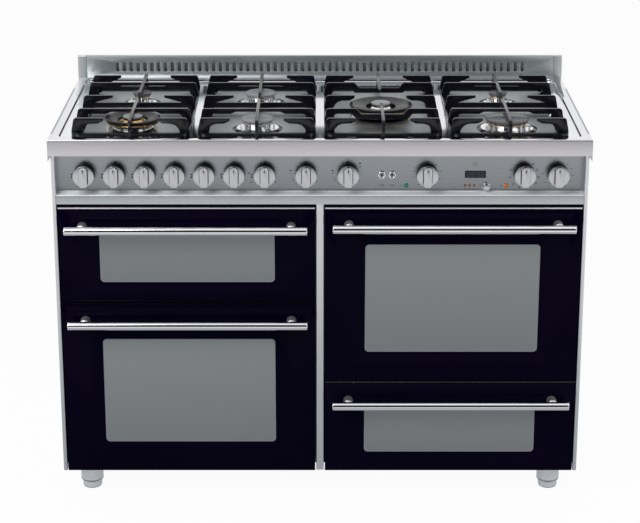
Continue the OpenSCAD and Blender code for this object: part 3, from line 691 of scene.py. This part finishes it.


# Knobs: a dark moulded skirt with a satin aluminium disc on its front and an upright grip, with a thin
# dark ring round the grip as a painted shadow gap, all on a steel spindle. The disc and the grip are
# turned and milled, with a small black index mark.
def copied(piece, name, move):
    """A like piece with its own mesh, moved."""
    other = piece.copy()
    other.data = piece.data.copy()
    other.name = other.data.name = name
    other.data.transform(Matrix.Translation(move))
    bpy.context.collection.objects.link(other)
    return other


# Anodised aluminium, finely ground upright: pale, soft and silky, with no clear mirror.
satin = mottled("satin_anodised_aluminium", (1600, 1600, 60), "#b9babe", "#cfd0d3", (0.26, 0.36),
                all_metal, (0.00002, 0.5), Roughness=0.6)
# Black nickel coat on a moulding: dark, with a soft metallic shine.
moulding = mottled("black_nickel_skirt", (1200, 80, 1200), "#212227", "#2d2e34", (0.24, 0.36),
                   {"Metallic": 0.8})
# Fired screen ink: flat black, barely raised.
ink = mottled("black_fired_ink", 500, "#111114", "#1d1d21", 0.5, Detail=1)
knob_at = {f"knob_{i}": middle_of(f"knob_{i}") for i in range(1, 13)}
first = Vector((knob_at["knob_1"].x, face_y, knob_at["knob_1"].z))
disc_front = 0.028
disc_y = face_y - disc_front
grip_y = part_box("knob_1")[0].y
grip_wide = 0.009
grip_tall = 0.023
skirt = turned("knob_skirt", first, [
    (0.0216, 0.0004), (0.0232, 0.0012), (0.0232, 0.0180), (0.0224, 0.0236), (0.0100, 0.0238)],
    axis="Y", steps=64, finish=moulding)
disc = turned("knob_disc", first, [
    (0.0210, 0.0232), (0.0236, 0.0234), (0.0240, 0.0240), (0.0240, disc_front - 0.0012),
    (0.0234, disc_front - 0.0003), (0.0226, disc_front), (0.0100, disc_front)],
    axis="Y", steps=64, finish=satin)
grip = plate("knob_grip", first.x, first.z, grip_wide, grip_tall, grip_y, disc_y + 0.001, 0.0072, 7)
pick("FACE", lambda p, n: n.y < -0.9)
bpy.ops.mesh.inset(thickness=0.0016)
pick("EDGE", lambda p, d: near(p.y, grip_y) and (
    abs(abs(p.x - first.x) - grip_wide) < 0.0002 or abs(abs(p.z - first.z) - grip_tall) < 0.0073
    and abs(p.x - first.x) > 0.0074 or abs(abs(p.z - first.z) - grip_tall) < 0.0002))
bpy.ops.transform.translate(value=(0, 0.0018, 0))
grip.data.materials.append(satin)
soften(grip, 0.0006, angle=30)
# Painted shadow: a thin dark ring round the grip, where the gap between grip and disc lies in shade.
painted_shadow_gap = plate("knob_gasket", first.x, first.z, 0.0107, 0.0225, disc_y - 0.0004, disc_y + 0.0005, 0.0100)
painted_shadow_gap.data.materials.append(moulding)
index = plate("knob_index", first.x, first.z + 0.01475, 0.0009, 0.00325, grip_y - 0.00002,
              grip_y + 0.0005, 0.0004)
index.data.materials.append(ink)
spindle = turned("knob_spindle", first, [(0.0040, -0.0260), (0.0040, 0.0010)], axis="Y", steps=24,
                 finish=nickel)
knob = joined("knob_model", skirt, disc, painted_shadow_gap, grip, index, spindle)
for name, at in knob_at.items():
    like = copied(knob, f"{name}_turned", Vector((at.x, face_y, at.z)) - first)
    finished(like, name, None, "knob", name, smooth=30)
bpy.data.objects.remove(knob)


# Timer knob and push buttons: small turned pieces. The knob is of the same satin aluminium, with a
# ribbed grip. The buttons are chromed, with a satin dish that has a black dot in its middle.
middle = middle_of("timer_knob")
timer = turned("timer_knob_turned", (middle.x, face_y, middle.z), [
    (0.0070, 0.0002), (0.0085, 0.0010), (0.0085, 0.0030), (0.0074, 0.0036), (0.0074, 0.0120),
    (0.0066, 0.0136), (0.0050, 0.0140)], axis="Y", steps=24)
edit(timer)
pick("FACE", lambda p, n: face_y - 0.012 < p.y < face_y - 0.0036 and abs(n.y) < 0.3
     and round(math.degrees(math.atan2(p.z - middle.z, p.x - middle.x)) / 15 - 0.5) % 2 == 0)
bpy.ops.mesh.inset(thickness=0.0003, use_individual=True)
bpy.ops.mesh.extrude_faces_move(TRANSFORM_OT_shrink_fatten={"value": -0.0005})
finished(timer, "timer_knob", satin, "knob", "timer_knob", smooth=30)
satin_dish = brushed("satin_dish", "#85878c", "#94969b", all_ways, (0.34, 0.44))
for name in ("button_1", "button_2"):
    low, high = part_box(name)
    middle = (low + high) / 2
    front = face_y - low.y
    button = turned(f"{name}_dished", (middle.x, face_y, middle.z), [
        (0.0100, -0.0035), (0.0100, -0.0016), (0.0085, -0.0015), (0.0085, front - 0.0012),
        (0.0080, front - 0.0003), (0.0072, front), (0.0062, front - 0.0004), (0.0048, front - 0.0018),
        (0.0024, front - 0.0025), (0.0006, front - 0.0027)], axis="Y", finish=chrome)
    edit(button)
    paint(button, satin_dish, lambda p, n: p.y > low.y + 0.0003 and n.y < -0.5)
    paint(button, ink, lambda p, n: p.y > low.y + 0.0023 and n.y < -0.5)
    finished(button, name, None, "knob", name, smooth=60)


# Lamps and display: clear tinted lenses pushed into the panel, green for the mains, orange for the
# oven, amber for the timer, and a smoked window over the unlit digits of the clock.
def tinted_lens(name, deep, pale, coat=0.6):
    """Clear tinted acrylic: a glossy skin over a body that is a little uneven in tone."""
    skin = {"Coat Weight": coat, "Specular IOR Level": coat / 2}
    return mottled(name, 400, deep, pale, 0.12, skin, Detail=1)


green_lens = tinted_lens("green_acrylic", "#00683f", "#008a54")
orange_lens = tinted_lens("orange_acrylic", "#b05a12", "#cf7320")
amber_lens = tinted_lens("amber_acrylic", "#6a3414", "#7f4322")
smoked = tinted_lens("smoked_acrylic", "#26292e", "#2d3036", 0.05)
digits = tinted_lens("unlit_digits", "#565a62", "#60646c", 0.05)
amber_x = (0.3240, 0.3340, 0.3443)
amber_z = 0.7497
lamps = [("green_lamp", 0.1923, 0.7495, 0.0052, green_lens),
         ("orange_lamp", 0.4155, 0.7495, 0.0052, orange_lens)]
lamps += [(f"amber_lamp_{n}", x, amber_z, 0.0030, amber_lens) for n, x in enumerate(amber_x, 1)]
for name, x, z, radius, finish in lamps:
    lens = turned(name, (x, face_y, z), [
        (radius - 0.0012, -0.0070), (radius - 0.0012, 0.0), (radius, 0.0), (radius, 0.0008),
        (radius * 0.86, 0.0014), (radius * 0.6, 0.0018), (radius * 0.2, 0.0020)], axis="Y", steps=32)
    replaced = ["indicator_lenses"] if name == "green_lamp" else []
    finished(lens, "cooker", finish, "lens", *replaced, smooth=60)
display_x, display_z = 0.3463, 0.7752
display = plate("clock_window", display_x, display_z, 0.0235, 0.0083, face_y - 0.0012, face_y + 0.002,
                0.0014)
soften(display, 0.0004)
finished(display, "cooker", smoked, "lens", smooth=30)


def begin(name):
    """An empty piece in edit mode, to which flat shapes are added."""
    afresh()
    bpy.ops.mesh.primitive_plane_add(size=1)
    piece = named(name)
    edit(piece)
    everything()
    bpy.ops.mesh.delete(type="VERT")
    return piece


def dot(x, z, radius, sides=20):
    """A filled disc that faces the front."""
    bpy.ops.mesh.primitive_circle_add(vertices=sides, radius=radius, fill_type="NGON", location=(x, 0, z),
                                      rotation=(math.pi / 2, 0, 0))


def outline(x, z, radius, width, sides=24, degrees=0):
    """The outline of a round or cornered shape that faces the front."""
    bpy.ops.mesh.primitive_circle_add(vertices=sides, radius=radius, location=(x, 0, z),
                                      rotation=(math.pi / 2, -math.radians(degrees), 0))
    k = 1 - width / radius
    extrude(0, 0, 0)
    bpy.ops.transform.resize(value=(k, k, k), center_override=(x, 0, z))


def raised(level, height):
    """Takes flat shapes to a level from back to front, and gives them a height towards the front."""
    everything()
    bpy.ops.transform.translate(value=(0, level, 0))
    extrude(0, -height, 0)
    everything()
    bpy.ops.mesh.normals_make_consistent(inside=False)


clock_digits = begin("clock_digits")
for place in (-0.0150, -0.0060, 0.0060, 0.0150):
    for level in (-0.0025, 0.0025):
        outline(display_x + place, display_z + level, 0.0038, 0.0008, 4, 45)
for level in (-0.0022, 0.0022):
    dot(display_x, display_z + level, 0.0006, 12)
raised(face_y - 0.00118, 0.00006)
finished(clock_digits, "cooker", digits, "lens", smooth=30)


# Printed marks: small black dots, dashes and simple signs fired on the panel around the knobs.
# They are plain signs for off, low and high, and for the kinds of heat.
def dash(x, z, length, width, degrees=0):
    """A filled bar that faces the front and leans by so many degrees."""
    place = (x, 0, z)
    bpy.ops.mesh.primitive_plane_add(size=1, location=place, rotation=(math.pi / 2, 0, 0))
    bpy.ops.transform.resize(value=(length, 1, width), center_override=place)
    bpy.ops.transform.rotate(value=math.radians(degrees), orient_axis="Y", center_override=place)


marks = begin("panel_marks")
millimetre = 0.001
for at in knob_at.values():
    dot(at.x, at.z + 0.0268, 0.0018)
for i in range(1, 8):
    at = knob_at[f"knob_{i}"]
    dot(at.x - 0.0288, at.z - 0.0022, 0.0020)
    dash(at.x - 0.0288, at.z - 0.0086, 0.0037, 0.0037)
at = knob_at["knob_7"]
for right, up, lean in ((-35, 1, 45), (-31, -20, 20), (24, -20, 45)):
    dash(at.x + right * millimetre, at.z + up * millimetre, 0.0046, 0.0018, lean)
for name in ("knob_8", "knob_9"):
    at = knob_at[name]
    dot(at.x - 0.0345, at.z + 0.0072, 0.0019)
    for right, up, long in ((-35.5, 0.8, 1.8), (-32.5, 0.8, 1.8), (-31, -9.2, 2.6), (-29.5, -13.6, 3.4),
                            (-28.5, -17.4, 2.6), (-22.4, -23.6, 3.6), (23.4, -17.6, 3)):
        dash(at.x + right * millimetre, at.z + up * millimetre, long * millimetre, 0.0012)
at = knob_at["knob_9"]
dot(at.x + 0.0262, at.z + 0.0236, 0.0020)
for up in (15, 17.4):
    dash(at.x + 0.0272, at.z + up * millimetre, 0.0046, 0.0010)
for right in (-14, 14):
    dash(at.x + right * millimetre, at.z - 0.0262, 0.0028, 0.0012)
for name, out, turns in (("knob_10", 0.0300, (-52, -20, 14, 50, 150, 166, 194, 232)),
                         ("knob_12", 0.0325, (-58, -30, -4, 24, 48, 176, 214, 236))):
    at = knob_at[name]
    for degrees in turns:
        lean = math.radians(degrees)
        dash(at.x + out * math.cos(lean), at.z + out * math.sin(lean) - 0.002, 0.0036, 0.0012)
at = knob_at["knob_11"]
for right, up in ((-30, 8.6), (-31.6, -8.6), (-24, -24.4), (-10.6, -32), (19.4, 21.8), (28.6, 8.4),
                  (31.4, -8.2), (26, -22)):
    x, z = at.x + right * millimetre, at.z + up * millimetre
    outline(x, z, 0.0034, 0.0008, 4, 45)
    dash(x, z, 0.0026, 0.0009)
outline(display_x - 0.0010, display_z + 0.0240, 0.0046, 0.0007)
dash(display_x - 0.0010, display_z + 0.0254, 0.0006, 0.0030)
for x in amber_x:
    outline(x, amber_z - 0.0088, 0.0022, 0.0005, 4, 45)
dot(0.3572, 0.7500, 0.0010)
dot(0.4046, 0.7490, 0.0016)
dash(0.1806, 0.7498, 0.0050, 0.0009, -35)
for name in ("button_1", "button_2"):
    x = middle_of(name).x
    dash(x - 0.0042, 0.7500, 0.0008, 0.0070)
    dash(x + 0.0042, 0.7500, 0.0008, 0.0070)
    outline(x, 0.7500, 0.0020, 0.0006, 12)
raised(face_y, 0.00008)
finished(marks, "cooker", ink, "knob", smooth=30)


# Gas taps and oven switches: brass tap bodies on a rail, behind the panel and out of sight.
# Their machined faces are plain, and the cast ones are rough.

# Hot pressed brass: warm yellow metal, dulled a little where it isn't machined.
brass = mottled("pressed_brass", 150, "#a8843f", "#cfa75c", (0.26, 0.42), all_metal)
dress(brass, "taps_and_switches")


# Hob: one pressed stainless sheet, with a sunk tray inside a flat rim and its edges folded down.
# The top is polished nearly to a mirror. The folded edges are ground along their length, and are
# painted darker than the top as painted shade.
def polished_steel(name, bright, field_shade_tone, satin=0.32):
    """Polished stainless sheet: an almost clear mirror with a faint haze of wiping marks. Under each
    pan support a field of it is left satin, as spills and cleaning would dull a polish, and it is
    darker in colour there as a painted reflection of the dark support over it."""
    finish = new_finish(name)
    wiping = grain(finish, (9, 300, 300), Roughness=0.7)
    place = add(finish, "SeparateXYZ", links={0: add(finish, "TexCoord").outputs["Object"]}).outputs
    across = add(finish, "Math", operation="WRAP", values={1: support_pitch, 2: 0}, links={0: place["X"]})
    across = add(finish, "Math", operation="COMPARE", links={0: across},
                 values={1: support_pitch / 2, 2: field_half_width})
    along = add(finish, "Math", operation="COMPARE", values={1: field_middle, 2: field_half_depth},
                links={0: place["Y"]})
    field = add(finish, "Math", operation="MULTIPLY", links={0: across, 1: along})
    colour = add(finish, "Mix", data_type="RGBA", links={0: field},
                 values={mix_a: tint(bright), mix_b: tint(field_shade_tone)})
    rough = add(finish, "Math", operation="MULTIPLY_ADD", values={1: satin},
                links={0: field, 2: spread(finish, wiping, 0.04, 0.08)})
    return show(finish, add(finish, "BsdfPrincipled", values=all_metal, links={
        "Base Color": colour.outputs[mixed], "Roughness": rough}))


def inside(p):
    """Whether a point lies within the rim of the hob."""
    rim = rim_width - 0.001
    return abs(p.x) < hob_high.x - rim and hob_low.y + rim < p.y < hob_high.y - rim


low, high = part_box("pan_support_4")
support_pitch = (low.x + high.x) / 3
field_middle = (low.y + high.y) / 2
field_half_width = 0.108
field_half_depth = 0.214
# Painted reflection: the hob is darker under each pan support, where the castings show in it.
mirror_steel = polished_steel("polished_steel_hob", "#dfe0e4", "#a2a6a8")
# Painted shade: the folded edges get a darker ground steel than the polished top.
band_steel_painted_shade = brushed("ground_steel_band_painted_shade", "#c9c6ca", "#d4d1d4", along_x, (0.26, 0.36))
band_height = 0.037
skirt_height = 0.048
rim_width = 0.022
tray_depth = 0.006
rim_z = hob_high.z
tray_z = rim_z - tray_depth
hob = block("hob_plate", (hob_low.x, hob_low.y, rim_z - band_height), hob_high)
leave_out(lambda p, n: n.z < -0.9)
pick("EDGE", lambda p, d: near(p.z, rim_z - band_height) and abs(d.y) > 0.9)
extrude(0, 0, band_height - skirt_height)
pick("FACE", lambda p, n: n.z > 0.9)
bpy.ops.mesh.inset(thickness=rim_width)
extrude(0, 0, -tray_depth)
rounded(0.020, 8, lambda p, d: abs(d.z) > 0.9 and abs(p.x) < hob_high.x - 0.001)
rounded(0.0022, 3, lambda p, d: abs(d.z) < 0.1 and near(p.z, tray_z))
rounded(0.0022, 3, lambda p, d: abs(d.z) < 0.1 and near(p.z, rim_z) and inside(p) and not (
    abs(d.x) > 0.1 and abs(d.y) > 0.1 and abs(p.x) > hob_high.x - 0.0214))
rounded(0.0030, 4, lambda p, d: abs(d.z) < 0.1 and near(p.z, rim_z) and (
    abs(p.x) > hob_high.x - 0.001 or p.y < hob_low.y + 0.001))
hob.data.materials.append(mirror_steel)
paint(hob, band_steel_painted_shade, lambda p, n: abs(n.z) < 0.3 and not inside(p))
thicken(hob)
finished(hob, "cooker", None, "steel", "hob_top", smooth=30)


# Burner seats: low cones pressed up in the hob round each burner, with a bright flat top and dark
# slopes. They are made as turned rings that lie on the tray.
seat_steel = polished_steel("polished_steel_seat", "#e2e3e6", "#e2e3e6", 0.02)
dark_slope_steel = brushed("dark_seat_slope_steel", "#17181c", "#27282d", 300, (0.12, 0.20))
seat_height = 0.004
columns = [middle_of(f"pan_support_{i}").x for i in range(1, 5)]
front_row = hob_low.y + 0.122
rear_row = hob_low.y + 0.365
# Where each burner stands, the radius of its cap, and that of the flat of its seat.
burners = {
    "ring": (columns[0], front_row, 0.062, 0.044), "simmer_left": (columns[0], rear_row, 0.022, 0.033),
    "medium_front": (columns[1], front_row, 0.0365, 0.0465),
    "medium_rear": (columns[1], rear_row, 0.0365, 0.0465),
    "wok": (columns[2], (front_row + rear_row) / 2, 0.072, 0.060),
    "large": (columns[3], front_row, 0.049, 0.0585), "simmer_right": (columns[3], rear_row, 0.022, 0.033)}
for name, (x, y, cap_radius, flat) in burners.items():
    seat = turned(f"{name}_burner_seat", (x, y, tray_z), [
        (0.0145, 0.0001), (0.0145, seat_height), (flat - 0.001, seat_height),
        (flat + 0.001, seat_height - 0.0004), (flat + 0.009, 0.0005), (flat + 0.0100, 0.0001)],
        steps=96, ring=True, finish=seat_steel)
    edit(seat)
    paint(seat, dark_slope_steel, lambda p, n: 0.3 < n.z < 0.97)
    finished(seat, "cooker", None, "steel", smooth=35)


# Burners: cast aluminium bodies whose walls flare up to the flame ports, with a flame ring pressed
# on top. It is of bright brass, but of aluminium on the two medium burners. The wok burner's body is
# coated black.
def ported(piece, centre, low, high, every, depth):
    """Sinks every second face of a turned wall, so that it has a row of upright ports."""
    edit(piece)
    pick("FACE", lambda p, n: low < p.z - centre[2] < high and abs(n.z) < 0.6
         and math.hypot(p.x - centre[0], p.y - centre[1]) > 0.010
         and n.x * (p.x - centre[0]) + n.y * (p.y - centre[1]) > 0
         and int(math.degrees(math.atan2(p.y - centre[1], p.x - centre[0])) % 360 / every) % 2 == 0)
    bpy.ops.mesh.inset(thickness=0.0002, use_individual=True)
    bpy.ops.mesh.extrude_faces_move(TRANSFORM_OT_shrink_fatten={"value": -depth})


# Die cast aluminium, turned bright: pale and a little milky.
alloy = mottled("turned_cast_aluminium", 200, "#c9c9c8", "#dddddb", (0.12, 0.24), all_metal)
# Black heat paint on aluminium: soft satin, with a fine grain.
coat = mottled("black_heat_paint", 700, "#0a0a11", "#111118", (0.22, 0.32), {"Specular IOR Level": 0.3})
# Machined brass kept bright by the flame: clear warm gold.
gold = mottled("bright_machined_brass", 160, "#b1935c", "#d6ba86", (0.14, 0.26), all_metal)
wide = ("ring", "wok")
seat_z = tray_z + seat_height
cup_height = 0.016
cup_top = cup_height - 0.0002
inner_lift = 0.006
inner_top = cup_top + inner_lift
for name, (x, y, cap_radius, flat) in burners.items():
    base = flat - 0.002 if name in wide else cap_radius - 0.006
    lip = cap_radius - 0.003
    hollow = 0.038 if name in wide else cap_radius - 0.010
    steps = 24 if cap_radius < 0.03 else 48 if cap_radius < 0.06 else 72
    centre = (x, y, seat_z)
    body = turned(f"{name}_body", centre, [
        (base - 0.0006, 0.0001), (base, 0.0008), (base + 0.0004, 0.0030), (lip - 0.0016, 0.0104),
        (lip - 0.0010, 0.0112), (hollow + 0.001, 0.0112), (hollow, 0.0040), (hollow - 0.002, 0.0001)],
        ring=True, steps=steps, finish=coat if name == "wok" else alloy)
    ported(body, centre, 0.0032, 0.0100, 360 / steps, 0.0012)
    ring = turned(f"{name}_flame_ring", centre, [
        (lip - 0.0020, 0.0112), (lip - 0.0003, 0.0118), (lip, 0.0126), (lip, cup_top),
        (lip - 0.004, cup_top), (lip - 0.004, 0.0112)],
        ring=True, steps=steps, finish=alloy if name.startswith("medium") else gold)
    ported(ring, centre, 0.0130, 0.0156, 360 / steps, 0.0010)
    pieces = [body, ring]
    if name in wide:
        inner = turned(f"{name}_inner_body", centre, [
            (0.0136, 0.0001), (0.0290, 0.0056), (0.0296, 0.0066), (0.0292, 0.0086),
            (0.0212, inner_top - 0.0062), (0.0196, inner_top - 0.0040), (0.0194, inner_top),
            (0.0150, inner_top), (0.0150, 0.0060)],
            ring=True, steps=32, finish=gold if name == "ring" else alloy)
        ported(inner, centre, 0.0180, inner_top, 360 / 32, 0.0012)
        pieces.append(inner)
    stub = turned(f"{name}_stub", (x, y, tray_z), [(0.0138, -0.0270), (0.0138, 0.0080)], steps=24,
                  finish=alloy)
    cup = joined(f"{name}_burner", stub, *pieces)
    finished(cup, "cooker", None, "cup_alloy", *(["burner_cups"] if name == "ring" else []), smooth=30)


# Burner caps: cast iron lids dipped in enamel. The flat ones are grey, and the two wide rings are
# black with a dished top, each with a small grey cap in its middle.
def cap_enamel(name, dark, light, rough, shine=0.4):
    """Satin enamel on cast iron: smooth, with the soft unevenness of the casting under it."""
    return mottled(name, 140, dark, light, rough, {"Specular IOR Level": shine}, (0.00002, 0.2))


grey_cap = cap_enamel("grey_cap_enamel", "#84868b", "#8f9196", (0.30, 0.40))
dark_cap = cap_enamel("dark_cap_enamel", "#4c4e54", "#565860", (0.24, 0.34))
black_cap = cap_enamel("black_cap_enamel", "#101016", "#17171e", (0.22, 0.30), 0.14)
small_cap = 0.022
cap_z = seat_z + cup_height
for name, (x, y, radius, flat) in burners.items():
    centre = (x, y, cap_z)
    if name in wide:
        cap = turned(f"{name}_cap", centre, [
            (0.0345, 0.0004), (0.0360, 0.0001), (radius - 0.0045, 0.0001), (radius - 0.0012, 0.0022),
            (radius, 0.0044), (radius, 0.0062), (radius - 0.0008, 0.0071), (radius - 0.0028, 0.0075),
            (radius - 0.0060, 0.0069), (radius - 0.0120, 0.0055), (0.0400, 0.0026), (0.0352, 0.0020),
            (0.0343, 0.0014)], ring=True, steps=96)
        finished(cap, "cooker", black_cap, "cap_enamel", *(["burner_caps"] if name == "ring" else []))
        radius = small_cap
        centre = (x, y, cap_z + inner_lift)
    lid = turned(f"{name}_lid", centre, [
        (radius - 0.0022, 0.0001), (radius - 0.0006, 0.0008), (radius, 0.0020), (radius, 0.0036),
        (radius - 0.0005, 0.0046), (radius - 0.0020, 0.0054), (radius * 0.7, 0.0062),
        (radius * 0.35, 0.0067), (0.0006, 0.0069)], steps=96 if radius > 0.03 else 64)
    darker = name in ("large", "simmer_left", "simmer_right")
    finished(lid, "cooker", dark_cap if darker else grey_cap, "cap_enamel")


# Igniters and flame probes: a white ceramic pin with a steel tip at one side of each burner, and a
# thin steel probe in a brass nut at the other.

# Glazed steatite: clean white, glossy, with a faint warm cloud.
white_ceramic = mottled("white_glazed_ceramic", 300, "#dcdad4", "#ebeae6", 0.25, Detail=1)
pin_top = 0.0150
# Of each kind: where it stands round the burner, its stem and its tip, the finish of its stem, and
# how many sides the two have.
pins = {
    "igniter": (205, [(0.0030, 0.0), (0.0032, 0.0010), (0.0032, 0.0100), (0.0024, 0.0112)],
                [(0.0010, 0.0100), (0.0010, pin_top - 0.0006), (0.0006, pin_top)], white_ceramic, 16, 12),
    "probe": (335, [(0.0036, 0.0), (0.0036, 0.0042), (0.0030, 0.0048)],
              [(0.0019, 0.0040), (0.0019, pin_top - 0.0012), (0.0010, pin_top)], gold, 6, 16)}
for name, (x, y, cap_radius, flat) in burners.items():
    out = cap_radius - 0.0030 if name in wide else cap_radius + 0.0042
    for kind, (degrees, stem_line, tip_line, stem_finish, stem_sides, tip_sides) in pins.items():
        lean = math.radians(degrees)
        spot = (x + out * math.cos(lean), y + out * math.sin(lean), tray_z)
        stem = turned("stem", spot, stem_line, steps=stem_sides, finish=stem_finish)
        tip = turned("tip", spot, tip_line, steps=tip_sides, finish=nickel)
        finished(joined(f"{name}_{kind}", stem, tip), "cooker", None, "cup_alloy", smooth=30)


# Pan supports: four iron castings, each an open frame with upright blades, dipped in satin black
# enamel. The enamel rounds every edge and pools slightly in the corners.
def shaped_copy(name, node):
    """A piece with the same shape as a piece of the frame, its triangles merged to flat faces."""
    piece = bpy.data.objects.new(name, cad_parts[node].data.copy())
    piece.data.name = name
    piece.data.materials.clear()
    bpy.context.collection.objects.link(piece)
    edit(piece)
    everything()
    bpy.ops.mesh.remove_doubles(threshold=1e-5)
    bpy.ops.mesh.dissolve_limited(angle_limit=math.radians(0.5))
    return piece


# Satin black enamel on sand cast iron: blue black, softly shining, with a fine orange peel.
cast = new_finish("black_enamelled_cast_iron")
peel = grain(cast, 450, Detail=2)
surface(cast, grain(cast, 30, Detail=1), peel, "#08080f", "#0e0e18", (0.15, 0.24),
        {"Specular IOR Level": 0.38}, (0.0001, 0.3))
for i in range(1, 5):
    support = shaped_copy(f"cast_support_{i}", f"pan_support_{i}")
    soften(support, 0.0013, segments=3, angle=30)
    finished(support, f"pan_support_{i}", cast, "cast", f"pan_support_{i}", smooth=40)


# Upstand: a folded box of ground stainless along the rear edge, with a row of upright slots that
# let the oven's hot air out. A narrow pressed cap, ground a little paler, closes each end.
upstand_steel = brushed("ground_steel_upstand", "#b0b6b8", "#bdc3c4", along_x, (0.40, 0.50))
end_steel = brushed("ground_steel_end_cap", "#bfc4c5", "#cccfd0", along_z, (0.34, 0.44))
upstand = shaped_copy("vented_upstand", "upstand")
soften(upstand, 0.0012, segments=2, angle=50)
low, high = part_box("upstand")
edit(upstand)
everything()
# A little smaller than its box, so that the caps cover its ends.
bpy.ops.transform.resize(value=(0.9994, 0.95, 0.994), center_override=(0, (low.y + high.y) / 2, low.z))
finished(upstand, "cooker", upstand_steel, "steel", "upstand", smooth=35)
cap_width = 0.022
for side, name in ((-1, "left"), (1, "right")):
    outer = high.x * side
    inner = outer - side * cap_width
    cap = block(f"upstand_{name}_cap", (min(outer, inner), low.y - 0.0008, low.z),
                (max(outer, inner), high.y, high.z))
    rounded(0.0024, 4, lambda p, d: (
        abs(d.z) > 0.9 and near(p.x, outer) or abs(d.x) > 0.9 and near(p.z, high.z)))
    rounded(0.0004, 1, lambda p, d: near(p.x, inner))
    finished(cap, "cooker", end_steel, "steel", smooth=35)


# Floor: a wide pale floor that carries the cooker's soft shadow. It is matt white paint, and most of
# it glows for the rays that see the backdrop, so it stays white. Polished pieces see it grey close
# by, where the cooker shades it.
white_paint = new_finish("matt_white_floor")
tone = grain(white_paint, 2, Detail=1)
paint_layer = add(white_paint, "BsdfDiffuse",
                  links={"Color": between(white_paint, tone, "#f0f0f0", "#f4f4f4")})
place = add(white_paint, "TexCoord").outputs["Object"]
away = add(white_paint, "VectorMath", operation="LENGTH", links={0: place}).outputs["Value"]
lit = add(white_paint, "MapRange", values={"From Min": 1.3, "From Max": 1.9}, links={"Value": away})
mirrored = add(white_paint, "Mix", data_type="RGBA", links={0: lit},
               values={mix_a: tint("#b3b6b9"), mix_b: tint("#ffffff")})
path = add(white_paint, "LightPath").outputs
colour = add(white_paint, "Mix", data_type="RGBA", values={mix_a: tint("#ffffff")},
             links={0: path["Is Glossy Ray"], mix_b: mirrored.outputs[mixed]})
glow = add(white_paint, "Emission", values={"Strength": 1}, links={"Color": colour.outputs[mixed]})
share = add(white_paint, "Math", operation="MULTIPLY", values={1: 0.95},
            links={0: sees_backdrop(white_paint)})
show(white_paint, add(white_paint, "MixShader", links={0: share, 1: paint_layer, 2: glow}))
afresh()
bpy.ops.mesh.primitive_plane_add(size=24, location=(0, 0, 0))
floor = named("floor")
floor.data.materials.append(white_paint)
